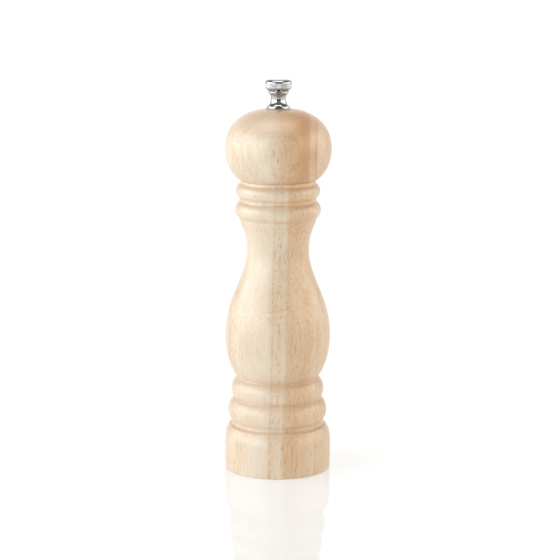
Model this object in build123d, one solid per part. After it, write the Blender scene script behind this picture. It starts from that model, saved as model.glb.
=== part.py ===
from build123d import *
import math
import os

# Pepper mill: turned wooden body and head, square spindle, steel burrs, adjusting knob.
# Millimetres. Origin at the centre of the underside, +Z up, the spindle on the Z axis.

# ---------------------------------------------------------------- fits
RUN = 0.05            # radial gap where round turns in round
SLIDE = 0.08          # gap a side where something slides along the square
SEAT = 0.02           # radial gap where a fixed piece sits in its pocket
THRUST = 0.05         # gap between faces that turn or slide on each other
WOOD_FIT = 0.10       # radial gap between the head's tenon and the body

# ---------------------------------------------------------------- body outline
# Radii are the radius of the turning blank less the depth of each cut.
# The lower rings are measured up from the foot, the upper rings down from the rim.
BLANK_R = 29.05
BODY_H = 159.1
EDGE_BREAK = 0.6
FOOT_CUT = 0.25
FOOT_TAPER_H = 8.0
WALL_H = 16.5
SHOULDER_CUT, SHOULDER_H = 2.6, 24.2
COLLAR_CUT, COLLAR_LOW_H, COLLAR_TOP_H = 4.15, 24.9, 26.9
RING_A_CUT, RING_A_H = 2.15, 32.8
VEE_A_CUT, VEE_A_H = 5.4, 39.4
RING_B_CUT, RING_B_H = 3.84, 44.8
VEE_B_CUT, VEE_B_H = 7.1, 51.0
BELLY_CUT, BELLY_H = 0.52, 74.7
BELLY_LEAN_CUT, BELLY_LEAN_H = 3.43, 4.4
BELLY_ROUND_H = 11.2
WAIST_CUT, WAIST_DROP = 12.22, 38.2
LIP_CUT, LIP_DROP = 8.2, 20.4
RING_C_CUT, RING_C_DROP = 5.94, 15.8
GROOVE_CUT, GROOVE_LOW_DROP, GROOVE_TOP_DROP = 8.45, 11.45, 9.7
RING_D_CUT, RING_D_DROP = 6.4, 5.4
RIM_CUT, RIM_DROP = 8.63, 1.8
BELLY_PULL, WAIST_PULL_LOW = 0.436, 0.321      # how far each curve holds its upright tangent
WAIST_PULL_HIGH, LIP_PULL = 0.619, 0.217

# ---------------------------------------------------------------- head outline
HEAD_H = 38.05
HEAD_CUT, HEAD_WIDEST_H = 0.36, 17.0
HEAD_SKIRT_OUT, HEAD_SKIRT_UP = 1.5, 0.5
HEAD_ROUND_LOW, HEAD_ROUND_HIGH = 11.1, 10.5
HEAD_TOP_OUT, HEAD_TOP_DROP = 15.6, 1.35
HEAD_FLAT_R = 6.5

# ---------------------------------------------------------------- bores of body and head
RECESS_STEP, RECESS_DEPTH, RECESS_BREAK = 6.5, 11.0, 0.5
CHAMBER_R = 12.5
TENON_STEP, TENON_LEN = 1.4, 13.1
TENON_POCKET_EXTRA = 4.0
TENON_BREAK = 0.6

# ---------------------------------------------------------------- spindle and thread
SQUARE = 6.0
CORNER_R = SQUARE / math.sqrt(2)
FOOT_R, FOOT_BELOW_BAR = 2.5, 1.8
THREAD_R, THREAD_PITCH, THREAD_DEPTH = 2.5, 0.8, 0.45
THREAD_BELOW_HEAD_TOP, THREAD_IN_KNOB = 4.2, 10.0
HEAD_BORE_GAP = 0.36

# ---------------------------------------------------------------- burrs
SHEET = 1.2           # wall of the pressed burr housing
BURR_H = 15.2
BURR_GAP = 0.1        # radial gap of the ring burr in its housing
BURR_LEDGE = 2.0      # how far the ring burr reaches under the housing's step
GRIND_GAP = 0.45
ROTOR_FOOT_R = 11.4
ROTOR_BAND_H, ROTOR_BAND_IN, ROTOR_CONE_H = 4.0, 1.46, 8.0
SPRING_SEAT_RIM = 1.3 # rotor's top face outside the spring
RING_WALL, RING_WALL_TOP, RING_MOUTH_OUT = 3.65, 3.2, 0.95
BURR_LUG_W, BURR_LUG_OUT, LUG_GAP = 3.0, 3.0, 0.1
FINE_TEETH_RING, FINE_TEETH_ROTOR, FINE_DEPTH = 40, 36, 0.55
FLUTES_RING, FLUTES_ROTOR = 8, 6
FLUTE_DEPTH, FLUTE_TWIST = 1.25, 24.0

# ---------------------------------------------------------------- bridge, bush, spring
NECK_LEN = 9.8
BRIDGE_T, BRIDGE_ARM_W, HUB_R = 1.5, 7.0, 7.2
BUSH_WALL, BUSH_FLANGE_T, BUSH_LIP_H, BUSH_LIP_OUT = 0.95, 1.0, 0.8, 0.45
SPRING_WIRE, SPRING_GAP, SPRING_COILS = 1.0, 0.46, 5
WASHER_T = 0.5

# ---------------------------------------------------------------- bottom fixings
FLANGE_GAP = 0.3
CLIP_T, CLIP_R, CLIP_GROOVE_R, CLIP_MOUTH = 0.7, 4.0, 1.9, 2.9
ROTOR_WASHER_T, ROTOR_WASHER_R = 0.8, 4.5
CLIP_ABOVE_BAR = 1.0
BAR_T, BAR_W = 1.5, 9.0
SCREW_INSET = 3.5
SCREW_R, SCREW_LEN, SCREW_HEAD_R, SCREW_HEAD_H = 1.5, 14.0, 3.2, 2.0
SMALL_SCREW_R, SMALL_SCREW_LEN, SMALL_HEAD_R, SMALL_HEAD_H = 1.1, 9.5, 2.4, 1.3
PLATE_T, PLATE_GAP, PLATE_SCREW_COUNT = 1.5, 2.4, 3

# ---------------------------------------------------------------- knob
NYLON_T, NYLON_PROUD, NYLON_R = 0.8, 0.3, 5.7
KNOB_FLANGE_R, KNOB_FLANGE_H = 6.25, 1.4
KNOB_FLARE_R = 5.6
KNOB_NECK_R, KNOB_NECK_H = 3.98, 4.9
KNOB_THROAT_R, KNOB_THROAT_H = 5.0, 7.9
KNOB_COLLAR_R, KNOB_COLLAR_LOW_H, KNOB_COLLAR_TOP_H = 5.55, 8.4, 9.3
KNOB_BAND_R, KNOB_BAND_LOW_H, KNOB_BAND_TOP_H = 7.2, 10.95, 13.85
KNOB_CROWN_R, KNOB_CROWN_OUT, KNOB_CROWN_UP = 5.2, 1.55, 1.0
KNOB_H = 15.4
KNURL_COUNT, KNURL_DEPTH, KNURL_ANGLE = 30, 0.3, 32.0

# ---------------------------------------------------------------- heights that follow
FLANGE_Z = RECESS_DEPTH                           # top face of the housing's flange
BURR_LOW_Z = FLANGE_Z - SHEET
BAR_LOW_Z = BURR_LOW_Z - BAR_T
STEP_Z = BURR_LOW_Z + BURR_H
BRIDGE_Z = STEP_Z + NECK_LEN
MECH_TOP_Z = BRIDGE_Z + BRIDGE_T
CLIP_Z = BURR_LOW_Z + CLIP_ABOVE_BAR
ROTOR_Z = CLIP_Z + CLIP_T + ROTOR_WASHER_T
THROAT_Z = ROTOR_Z + ROTOR_BAND_H
ROTOR_TOP_Z = THROAT_Z + ROTOR_CONE_H
BUSH_Z = BRIDGE_Z - BUSH_FLANGE_T
SPRING_TOP_Z = BUSH_Z - WASHER_T
HEAD_Z = BODY_H + THRUST
TENON_Z = HEAD_Z - TENON_LEN
POCKET_Z = TENON_Z - TENON_POCKET_EXTRA
PLATE_Z = TENON_Z - PLATE_T
HEAD_TOP_Z = HEAD_Z + HEAD_H
KNOB_Z = HEAD_TOP_Z + NYLON_PROUD + THRUST
THREAD_Z = HEAD_TOP_Z - THREAD_BELOW_HEAD_TOP
THREAD_TOP_Z = KNOB_Z + THREAD_IN_KNOB

# ---------------------------------------------------------------- radii that follow
RING_BURR_R = ROTOR_FOOT_R + GRIND_GAP + RING_WALL
BURR_POCKET_R = RING_BURR_R + BURR_GAP
HOUSING_R = BURR_POCKET_R + SHEET
MECH_BORE_R = HOUSING_R + 2 * BURR_GAP
RECESS_R = MECH_BORE_R + RECESS_STEP
FLANGE_R = RECESS_R - FLANGE_GAP
NECK_BORE_R = RING_BURR_R - BURR_LEDGE
TENON_R = CHAMBER_R + TENON_STEP
ROTOR_THROAT_R = ROTOR_FOOT_R - ROTOR_BAND_IN
SCREW_AT = RECESS_R - SCREW_INSET
SCREW_HOLE_R = SCREW_R + 0.3
BAR_HALF = SCREW_AT + SCREW_HOLE_R + 0.8
SPINDLE_BORE_R = CORNER_R + HEAD_BORE_GAP
BUSH_R = CORNER_R + SLIDE + BUSH_WALL
SPRING_R = CORNER_R + SPRING_GAP + SPRING_WIRE / 2
ROTOR_TOP_R = SPRING_R + SPRING_WIRE / 2 + SPRING_SEAT_RIM
RING_MOUTH_R = ROTOR_FOOT_R + GRIND_GAP + RING_MOUTH_OUT
RING_TOP_R = RING_BURR_R - RING_WALL_TOP
PLATE_R = CHAMBER_R - 1.0
PLATE_SCREW_AT = (SPINDLE_BORE_R + TENON_R) / 2 - 1.0


def lathe(*segments):
    """Solid turned about Z from a closed outline whose points are (radius, height)."""
    edges = [edge for segment in segments for edge in segment.edges()]
    return revolve(Plane.XZ * make_face(edges), Axis.Z)


def turned(*points):
    """Solid turned about Z from a closed outline of straight lines."""
    return lathe(Polyline(*points, points[0]))


def rod(radius, low, high):
    """Round rod on the Z axis between two heights."""
    return Pos(0, 0, low) * Cylinder(radius, high - low, align=(Align.CENTER, Align.CENTER, Align.MIN))


def tube(outer, inner, low, high):
    """Round tube on the Z axis between two heights."""
    return rod(outer, low, high) - rod(inner, low - 1, high + 1)


def square_rod(side, low, high):
    """Square rod on the Z axis between two heights."""
    return Pos(0, 0, low) * Box(side, side, high - low, align=(Align.CENTER, Align.CENTER, Align.MIN))


def around(piece, count, start=0.0):
    """Copies of a piece, evenly spaced about Z."""
    return [Rot(0, 0, start + 360.0 * k / count) * piece for k in range(count)]


def vee(start, end, depth, half_width, clearance, inside):
    """Triangular cutter from start to end, its sharp edge `depth` beyond that line.

    inside is True for a cut into the wall of a bore and False for one into an outer wall.
    """
    path = Vector(*end) - Vector(*start)
    radial = Vector(start[0], start[1], 0).normalized()
    out = radial if inside else radial * -1
    plane = Plane(origin=start, x_dir=out - path.normalized() * out.dot(path.normalized()), z_dir=path)
    wide = half_width * (depth + clearance) / depth
    section = make_face(Polyline((depth, 0), (-clearance, wide), (-clearance, -wide), (depth, 0)).edges())
    return extrude(plane * section, path.length)


def polar(radius, degrees, height):
    """Point at a radius, a bearing and a height."""
    return (radius * math.cos(math.radians(degrees)), radius * math.sin(math.radians(degrees)), height)


def ring_profile(radius_from, height_from, radius_mid, height_mid, radius_to, height_to):
    """Round bead between two grooves."""
    return ThreePointArc((radius_from, height_from), (radius_mid, height_mid), (radius_to, height_to))


# ================================================================ wood
def body_outline():
    """Outer outline of the body, from the foot up to the rim."""
    foot_r = BLANK_R - FOOT_CUT
    shoulder = (BLANK_R - SHOULDER_CUT, SHOULDER_H)
    collar_r = BLANK_R - COLLAR_CUT
    vee_a = (BLANK_R - VEE_A_CUT, VEE_A_H)
    vee_b = (BLANK_R - VEE_B_CUT, VEE_B_H)
    belly = (BLANK_R - BELLY_CUT, BELLY_H)
    lean = (BLANK_R - BELLY_LEAN_CUT, VEE_B_H + BELLY_LEAN_H)
    waist = (BLANK_R - WAIST_CUT, BODY_H - WAIST_DROP)
    lip = (BLANK_R - LIP_CUT, BODY_H - LIP_DROP)
    groove_r = BLANK_R - GROOVE_CUT
    groove_low = (groove_r, BODY_H - GROOVE_LOW_DROP)
    groove_top = (groove_r, BODY_H - GROOVE_TOP_DROP)
    rim_r = BLANK_R - RIM_CUT
    low_span = waist[1] - belly[1]
    high_span = lip[1] - waist[1]
    return [
        Line((foot_r - EDGE_BREAK, 0), (foot_r, EDGE_BREAK)),
        Line((foot_r, EDGE_BREAK), (BLANK_R, FOOT_TAPER_H)),
        Line((BLANK_R, FOOT_TAPER_H), (BLANK_R, WALL_H)),
        TangentArc((BLANK_R, WALL_H), shoulder, tangent=(0, 1)),
        Polyline(shoulder, (collar_r, COLLAR_LOW_H), (collar_r, COLLAR_TOP_H)),
        ring_profile(collar_r, COLLAR_TOP_H, BLANK_R - RING_A_CUT, RING_A_H, *vee_a),
        ring_profile(*vee_a, BLANK_R - RING_B_CUT, RING_B_H, *vee_b),
        Bezier(vee_b, lean, (belly[0], belly[1] - BELLY_ROUND_H), belly),
        Bezier(belly, (belly[0], belly[1] + BELLY_PULL * low_span),
               (waist[0], waist[1] - WAIST_PULL_LOW * low_span), waist),
        Bezier(waist, (waist[0], waist[1] + WAIST_PULL_HIGH * high_span),
               (lip[0], lip[1] - LIP_PULL * high_span), lip),
        ring_profile(*lip, BLANK_R - RING_C_CUT, BODY_H - RING_C_DROP, *groove_low),
        Line(groove_low, groove_top),
        ring_profile(*groove_top, BLANK_R - RING_D_CUT, BODY_H - RING_D_DROP, rim_r, BODY_H - RIM_DROP),
        Line((rim_r, BODY_H - RIM_DROP), (rim_r, BODY_H)),
    ]


def mill_body():
    """Turned body: bottom recess, mechanism bore, peppercorn chamber and tenon pocket."""
    pocket_r = TENON_R + WOOD_FIT
    bore = Polyline(
        (BLANK_R - RIM_CUT, BODY_H), (pocket_r + RECESS_BREAK, BODY_H), (pocket_r, BODY_H - RECESS_BREAK),
        (pocket_r, POCKET_Z), (CHAMBER_R, POCKET_Z), (CHAMBER_R, MECH_TOP_Z), (MECH_BORE_R, MECH_TOP_Z),
        (MECH_BORE_R, RECESS_DEPTH), (RECESS_R, RECESS_DEPTH), (RECESS_R, RECESS_BREAK),
        (RECESS_R + RECESS_BREAK, 0), (BLANK_R - FOOT_CUT - EDGE_BREAK, 0))
    body = lathe(*body_outline(), bore)
    pilot = Pos(SCREW_AT, 0, 0) * rod(SCREW_R + SEAT, RECESS_DEPTH - 1, BAR_LOW_Z + SCREW_LEN + 0.5)
    return body - around(pilot, 2)


def mill_head():
    """Turned round head with its tenon, the spindle's bore and the knob washer's pocket."""
    skirt_r = BLANK_R - RIM_CUT
    widest = (BLANK_R - HEAD_CUT, HEAD_Z + HEAD_WIDEST_H)
    washer_r = NYLON_R + SEAT
    washer_z = HEAD_TOP_Z + NYLON_PROUD - NYLON_T
    outside = [
        Bezier((skirt_r, HEAD_Z), (skirt_r + HEAD_SKIRT_OUT, HEAD_Z + HEAD_SKIRT_UP),
               (widest[0], widest[1] - HEAD_ROUND_LOW), widest),
        Bezier(widest, (widest[0], widest[1] + HEAD_ROUND_HIGH),
               (HEAD_FLAT_R + HEAD_TOP_OUT, HEAD_TOP_Z - HEAD_TOP_DROP), (HEAD_FLAT_R, HEAD_TOP_Z)),
    ]
    inside = Polyline(
        (HEAD_FLAT_R, HEAD_TOP_Z), (washer_r, HEAD_TOP_Z), (washer_r, washer_z), (SPINDLE_BORE_R, washer_z),
        (SPINDLE_BORE_R, TENON_Z), (TENON_R - TENON_BREAK, TENON_Z), (TENON_R, TENON_Z + TENON_BREAK),
        (TENON_R, HEAD_Z), (skirt_r, HEAD_Z))
    head = lathe(*outside, inside)
    pilot = Pos(PLATE_SCREW_AT, 0, 0) * rod(SMALL_SCREW_R + SEAT, TENON_Z - 1,
                                            PLATE_Z + SMALL_SCREW_LEN + 0.5)
    return head - around(pilot, PLATE_SCREW_COUNT)


# ================================================================ spindle and what turns with it
def spindle():
    """Square drive rod: turned foot with a clip groove below, adjusting thread on top."""
    foot_low = BAR_LOW_Z - FOOT_BELOW_BAR
    foot = turned((0, foot_low), (FOOT_R - 0.4, foot_low), (FOOT_R, foot_low + 0.4), (FOOT_R, CLIP_Z - SEAT),
                  (CLIP_GROOVE_R, CLIP_Z - SEAT), (CLIP_GROOVE_R, CLIP_Z + CLIP_T + SEAT),
                  (FOOT_R, CLIP_Z + CLIP_T + SEAT), (FOOT_R, ROTOR_Z), (0, ROTOR_Z))
    turns = int((THREAD_TOP_Z - THREAD_Z - THREAD_R) / THREAD_PITCH)
    outline = [(0, THREAD_Z), (THREAD_R - THREAD_DEPTH, THREAD_Z), (THREAD_R - THREAD_DEPTH, THREAD_Z + 1)]
    for k in range(turns):
        low = THREAD_Z + 1 + k * THREAD_PITCH
        outline += [(THREAD_R, low + THREAD_PITCH * 0.45), (THREAD_R, low + THREAD_PITCH * 0.55),
                    (THREAD_R - THREAD_DEPTH, low + THREAD_PITCH)]
    outline += [(THREAD_R - 2 * THREAD_DEPTH, THREAD_TOP_Z), (0, THREAD_TOP_Z)]
    return foot + square_rod(SQUARE, ROTOR_Z, THREAD_Z) + turned(*outline)


def inner_burr():
    """Conical rotor: square bore, six breaker flutes, a fine-toothed band at the foot."""
    cone = turned((0, ROTOR_Z), (ROTOR_FOOT_R, ROTOR_Z), (ROTOR_THROAT_R, THROAT_Z),
                  (ROTOR_TOP_R, ROTOR_TOP_Z), (0, ROTOR_TOP_Z))
    bore = square_rod(SQUARE + 2 * SLIDE, ROTOR_Z - 1, ROTOR_TOP_Z + 1)
    fine = vee((ROTOR_FOOT_R + 0.15, 0, ROTOR_Z - 0.4), (ROTOR_THROAT_R - 0.2, 0, THROAT_Z + 0.5),
               FINE_DEPTH, FINE_DEPTH * 0.8, 0.6, False)
    flute = vee(polar(ROTOR_THROAT_R + 0.3, 0, THROAT_Z - 1.0),
                polar(ROTOR_TOP_R + 0.15, FLUTE_TWIST, ROTOR_TOP_Z + 0.6),
                FLUTE_DEPTH, FLUTE_DEPTH * 1.2, 1.6, False)
    return cone - bore - around(fine, FINE_TEETH_ROTOR) - around(flute, FLUTES_ROTOR)


def outer_burr():
    """Ring burr: flared fluted throat above a fine-toothed band, two lugs against turning."""
    gap_foot = (ROTOR_FOOT_R + GRIND_GAP, ROTOR_Z)
    gap_throat = (ROTOR_THROAT_R + GRIND_GAP, THROAT_Z)
    ring = turned((RING_MOUTH_R, BURR_LOW_Z), (RING_BURR_R, BURR_LOW_Z), (RING_BURR_R, STEP_Z),
                  (RING_TOP_R, STEP_Z), gap_throat, gap_foot)
    lug_reach = RING_BURR_R + BURR_LUG_OUT
    lug = Pos((RING_BURR_R - 1 + lug_reach) / 2, 0, BURR_LOW_Z + SHEET / 2) * Box(
        lug_reach - RING_BURR_R + 1, BURR_LUG_W, SHEET)
    fine = vee((gap_foot[0] - 0.1, 0, ROTOR_Z - 1.6), (gap_throat[0] - 0.2, 0, THROAT_Z + 1.2),
               FINE_DEPTH, FINE_DEPTH * 0.8, 1.2, True)
    flute = vee(polar(gap_throat[0] - 0.5, 0, THROAT_Z - 0.4),
                polar(RING_TOP_R + 0.2, -FLUTE_TWIST, STEP_Z + 0.6),
                FLUTE_DEPTH, FLUTE_DEPTH * 1.2, 1.6, True)
    return ring + around(lug, 2, 90) - around(fine, FINE_TEETH_RING) - around(flute, FLUTES_RING)


# ================================================================ fixed metalwork in the body
def burr_housing():
    """Pressed cup: bottom flange, burr pocket, and a neck that carries the bridge."""
    neck_r = NECK_BORE_R + SHEET
    cup = turned((BURR_POCKET_R, BURR_LOW_Z), (FLANGE_R, BURR_LOW_Z), (FLANGE_R, FLANGE_Z),
                 (HOUSING_R, FLANGE_Z), (HOUSING_R, STEP_Z + SHEET), (neck_r, STEP_Z + SHEET),
                 (neck_r, BRIDGE_Z), (NECK_BORE_R, BRIDGE_Z), (NECK_BORE_R, STEP_Z), (BURR_POCKET_R, STEP_Z))
    reach = RING_BURR_R + BURR_LUG_OUT + LUG_GAP
    slot = Pos(reach / 2, 0, BURR_LOW_Z + SHEET / 2) * Box(reach, BURR_LUG_W + 2 * LUG_GAP, SHEET + 0.002)
    hole = Pos(SCREW_AT, 0, 0) * rod(SCREW_HOLE_R, BURR_LOW_Z - 1, FLANGE_Z + 1)
    return cup - around(slot, 2, 90) - around(hole, 2)


def bearing_bridge():
    """Ring with a hub on two arms: the upper bearing of the drive."""
    ring = tube(HOUSING_R, NECK_BORE_R, BRIDGE_Z, MECH_TOP_Z)
    arms = Pos(0, 0, BRIDGE_Z) * Box(2 * NECK_BORE_R + 1, BRIDGE_ARM_W, BRIDGE_T,
                                     align=(Align.CENTER, Align.CENTER, Align.MIN))
    plate = ring + arms + rod(HUB_R, BRIDGE_Z, MECH_TOP_Z)
    return plate - rod(BUSH_R + RUN, BRIDGE_Z - 1, MECH_TOP_Z + 1)


def spindle_bush():
    """Flanged bush that turns in the bridge and lets the square spindle slide through it."""
    lip_r = BUSH_R + BUSH_LIP_OUT
    lip_z = MECH_TOP_Z + THRUST
    bush = turned((0, BUSH_Z), (HUB_R - 0.2, BUSH_Z), (HUB_R - 0.2, BRIDGE_Z - THRUST), (BUSH_R, BRIDGE_Z - THRUST),
                  (BUSH_R, lip_z), (lip_r, lip_z), (BUSH_R - 0.2, lip_z + BUSH_LIP_H), (0, lip_z + BUSH_LIP_H))
    return bush - square_rod(SQUARE + 2 * SLIDE, BUSH_Z - 1, lip_z + BUSH_LIP_H + 1)


def spring_washer():
    """Steel washer between the spring and the bush."""
    return tube(HUB_R - 0.3, SPINDLE_BORE_R - 0.1, SPRING_TOP_Z, BUSH_Z)


def adjusting_spring():
    """Compression spring between the rotor and the bush's washer."""
    rise = SPRING_TOP_Z - ROTOR_TOP_Z - SPRING_WIRE
    helix = Helix(rise / SPRING_COILS, rise, SPRING_R, center=(0, 0, ROTOR_TOP_Z + SPRING_WIRE / 2))
    return sweep(Plane(origin=helix @ 0, z_dir=helix % 0) * Circle(SPRING_WIRE / 2), path=helix, is_frenet=True)


def rotor_washer():
    """Thrust washer between the rotor and the clip."""
    return tube(ROTOR_WASHER_R, FOOT_R + RUN, CLIP_Z + CLIP_T, ROTOR_Z)


def retaining_clip():
    """Open spring clip in the groove of the spindle's foot."""
    ring = tube(CLIP_R, CLIP_GROOVE_R + SEAT, CLIP_Z, CLIP_Z + CLIP_T)
    mouth = Pos(CLIP_R / 2 + 0.5, 0, CLIP_Z + CLIP_T / 2) * Box(CLIP_R + 1, CLIP_MOUTH, CLIP_T + 1)
    notch = Pos(CLIP_R, 0, 0) * rod(CLIP_R * 0.3, CLIP_Z - 1, CLIP_Z + CLIP_T + 1)
    return ring - mouth - Rot(0, 0, 120) * notch - Rot(0, 0, 240) * notch


def retaining_bar():
    """Flat bar across the bottom: steadies the spindle's foot and holds the burr up."""
    half = BAR_HALF - BAR_W / 2
    strip = Pos(0, 0, BAR_LOW_Z) * Box(2 * half, BAR_W, BAR_T, align=(Align.CENTER, Align.CENTER, Align.MIN))
    ends = [Pos(side * half, 0, 0) * rod(BAR_W / 2, BAR_LOW_Z, BURR_LOW_Z) for side in (-1, 1)]
    hole = Pos(SCREW_AT, 0, 0) * rod(SCREW_HOLE_R, BAR_LOW_Z - 1, BURR_LOW_Z + 1)
    return strip + ends - around(hole, 2) - rod(FOOT_R + RUN, BAR_LOW_Z - 1, BURR_LOW_Z + 1)


def wood_screw(radius, length, head_r, head_h):
    """Pan-head wood screw with a cross recess, pointing up, its head seated at height 0."""
    core = radius * 0.72
    pitch = radius * 0.9
    grip = length * 0.22
    tip = length - 1.6 * radius
    turns = int((tip - grip) / pitch)
    outline = [(0, -head_h), (head_r * 0.55, -head_h), (head_r, -head_h * 0.45), (head_r, 0), (core, 0),
               (core, grip)]
    for k in range(turns):
        low = grip + k * pitch
        outline += [(radius, low + pitch * 0.5), (core, low + pitch)]
    outline += [(0, length)]
    cross = Box(head_r * 1.1, head_r * 0.24, head_h)
    recess = [Pos(0, 0, -head_h) * Rot(0, 0, turn) * cross for turn in (0, 90)]
    return turned(*outline) - recess


# ================================================================ head fittings and knob
def drive_plate():
    """Round plate under the tenon whose square hole turns the spindle."""
    plate = rod(PLATE_R, PLATE_Z, TENON_Z) - square_rod(SQUARE + 2 * SLIDE, PLATE_Z - 1, TENON_Z + 1)
    hole = Pos(PLATE_SCREW_AT, 0, 0) * rod(SMALL_SCREW_R + 0.2, PLATE_Z - 1, TENON_Z + 1)
    return plate - around(hole, PLATE_SCREW_COUNT)


def knob_washer():
    """Nylon washer let into the top of the head, for the knob to bear on."""
    low = HEAD_TOP_Z + NYLON_PROUD - NYLON_T
    return tube(NYLON_R, THREAD_R + 0.3, low, low + NYLON_T)


def adjusting_knob():
    """Turned knob: flange, waisted neck, collar, diamond-knurled band and flat crown."""
    z = KNOB_Z
    top = z + KNOB_H
    crown_bulge = (KNOB_CROWN_R + KNOB_CROWN_OUT, z + KNOB_BAND_TOP_H + KNOB_CROWN_UP)
    knob = lathe(
        Polyline((0, z), (KNOB_FLANGE_R - 0.2, z), (KNOB_FLANGE_R, z + 0.2),
                 (KNOB_FLANGE_R, z + KNOB_FLANGE_H - 0.2), (KNOB_FLANGE_R - 0.2, z + KNOB_FLANGE_H),
                 (KNOB_FLARE_R, z + KNOB_FLANGE_H)),
        ThreePointArc((KNOB_FLARE_R, z + KNOB_FLANGE_H), (KNOB_NECK_R, z + KNOB_NECK_H),
                      (KNOB_THROAT_R, z + KNOB_THROAT_H)),
        Polyline((KNOB_THROAT_R, z + KNOB_THROAT_H), (KNOB_COLLAR_R, z + KNOB_COLLAR_LOW_H),
                 (KNOB_COLLAR_R, z + KNOB_COLLAR_TOP_H), (KNOB_BAND_R, z + KNOB_BAND_LOW_H),
                 (KNOB_BAND_R, z + KNOB_BAND_TOP_H)),
        ThreePointArc((KNOB_BAND_R, z + KNOB_BAND_TOP_H), crown_bulge, (KNOB_CROWN_R, top)),
        Polyline((KNOB_CROWN_R, top), (0, top), (0, z)))
    rise = (KNOB_BAND_TOP_H - KNOB_BAND_LOW_H) / 2 + 0.6
    mid = z + (KNOB_BAND_LOW_H + KNOB_BAND_TOP_H) / 2
    across = rise * math.tan(math.radians(KNURL_ANGLE))
    knurls = []
    for lean in (-1, 1):
        cut = vee((KNOB_BAND_R, -lean * across, mid - rise), (KNOB_BAND_R, lean * across, mid + rise),
                  KNURL_DEPTH, KNURL_DEPTH, 0.6, False)
        knurls += around(cut, KNURL_COUNT)
    return knob - knurls - rod(THREAD_R + RUN, z - 1, THREAD_TOP_Z + 1.5)


# ================================================================ the whole mill
def pieces():
    """Every piece of the mill by its node name."""
    model = {
        "mill_body": mill_body(),
        "mill_head": mill_head(),
        "spindle": spindle(),
        "inner_burr": inner_burr(),
        "outer_burr": outer_burr(),
        "burr_housing": burr_housing(),
        "bearing_bridge": bearing_bridge(),
        "spindle_bush": spindle_bush(),
        "spring_washer": spring_washer(),
        "adjusting_spring": adjusting_spring(),
        "rotor_washer": rotor_washer(),
        "retaining_clip": retaining_clip(),
        "retaining_bar": retaining_bar(),
        "drive_plate": drive_plate(),
        "knob_washer": knob_washer(),
        "adjusting_knob": adjusting_knob(),
    }
    screw = Pos(SCREW_AT, 0, BAR_LOW_Z) * wood_screw(SCREW_R, SCREW_LEN, SCREW_HEAD_R, SCREW_HEAD_H)
    for number, piece in enumerate(around(screw, 2), 1):
        model[f"retaining_screw_{number}"] = piece
    small = Pos(PLATE_SCREW_AT, 0, PLATE_Z) * wood_screw(
        SMALL_SCREW_R, SMALL_SCREW_LEN, SMALL_HEAD_R, SMALL_HEAD_H)
    for number, piece in enumerate(around(small, PLATE_SCREW_COUNT), 1):
        model[f"drive_plate_screw_{number}"] = piece
    return model


if __name__ == "__main__":
    os.makedirs("parts", exist_ok=True)
    for name, piece in pieces().items():
        export_step(piece, f"parts/{name}.step")
        print(name, len(piece.solids()), round(piece.volume, 2), "mm3")
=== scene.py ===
"""Turned wooden pepper mill with a chromed adjusting knob and a steel burr mechanism.

The wooden pieces, the knob, the spindle, the burrs and every round metal piece are turned from
their outlines by one lathe tree in Geometry Nodes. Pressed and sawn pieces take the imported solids
and get rounded edges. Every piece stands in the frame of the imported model.
"""
import logging
import math
from dataclasses import dataclass, field, replace
from enum import Enum

import bmesh
import bpy
from mathutils import Matrix, Vector


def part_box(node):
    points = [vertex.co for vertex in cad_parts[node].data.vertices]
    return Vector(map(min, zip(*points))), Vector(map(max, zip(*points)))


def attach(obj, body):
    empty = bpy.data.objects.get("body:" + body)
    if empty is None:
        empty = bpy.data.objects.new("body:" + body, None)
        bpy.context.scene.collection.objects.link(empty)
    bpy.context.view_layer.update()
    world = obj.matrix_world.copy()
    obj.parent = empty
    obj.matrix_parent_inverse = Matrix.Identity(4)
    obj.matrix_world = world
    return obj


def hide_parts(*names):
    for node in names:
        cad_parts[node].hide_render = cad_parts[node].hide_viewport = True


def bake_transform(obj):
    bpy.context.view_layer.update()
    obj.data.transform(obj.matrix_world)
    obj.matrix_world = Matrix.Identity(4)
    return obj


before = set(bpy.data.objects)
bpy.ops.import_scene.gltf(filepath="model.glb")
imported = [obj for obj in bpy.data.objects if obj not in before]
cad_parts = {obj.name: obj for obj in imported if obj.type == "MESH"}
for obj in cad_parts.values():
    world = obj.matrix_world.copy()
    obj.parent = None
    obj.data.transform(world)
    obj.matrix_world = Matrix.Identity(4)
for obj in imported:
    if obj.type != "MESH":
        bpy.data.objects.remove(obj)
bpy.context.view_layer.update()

MM = 0.001
LOG = logging.getLogger("pepper_mill")
Socket = bpy.types.NodeSocket
Tree = bpy.types.NodeTree


# ---------------------------------------------------------------- small tools
def linear(hex_colour: str) -> tuple[float, float, float, float]:
    """Turn an sRGB hex colour into linear light."""
    parts = [int(hex_colour[k:k + 2], 16) / 255 for k in (0, 2, 4)]
    low = [p / 12.92 if p <= 0.04045 else ((p + 0.055) / 1.055) ** 2.4 for p in parts]
    return (low[0], low[1], low[2], 1.0)


def add(tree: Tree, kind: str, inputs: dict | None = None, **settings: object) -> bpy.types.Node:
    """Add a node with its settings, and set or link its inputs.

    Args:
        tree: The shader or geometry tree that gets the node.
        kind: The node's type name, such as "ShaderNodeMath".
        inputs: Input name or number to a socket, which is linked, or to a value, which is set.
        settings: The node's own properties.

    Returns:
        The new node.
    """
    node = tree.nodes.new(kind)
    for key, value in settings.items():
        setattr(node, key, value)
    for key, value in (inputs or {}).items():
        if isinstance(value, Socket):
            tree.links.new(value, node.inputs[key])
        else:
            node.inputs[key].default_value = value
    return node


def maths(tree: Tree, operation: str, *values: Socket | float, clamp: bool = False) -> Socket:
    """Add a Math node, in a shader or a geometry tree."""
    node = add(tree, "ShaderNodeMath", dict(enumerate(values)), operation=operation, use_clamp=clamp)
    return node.outputs[0]


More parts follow.
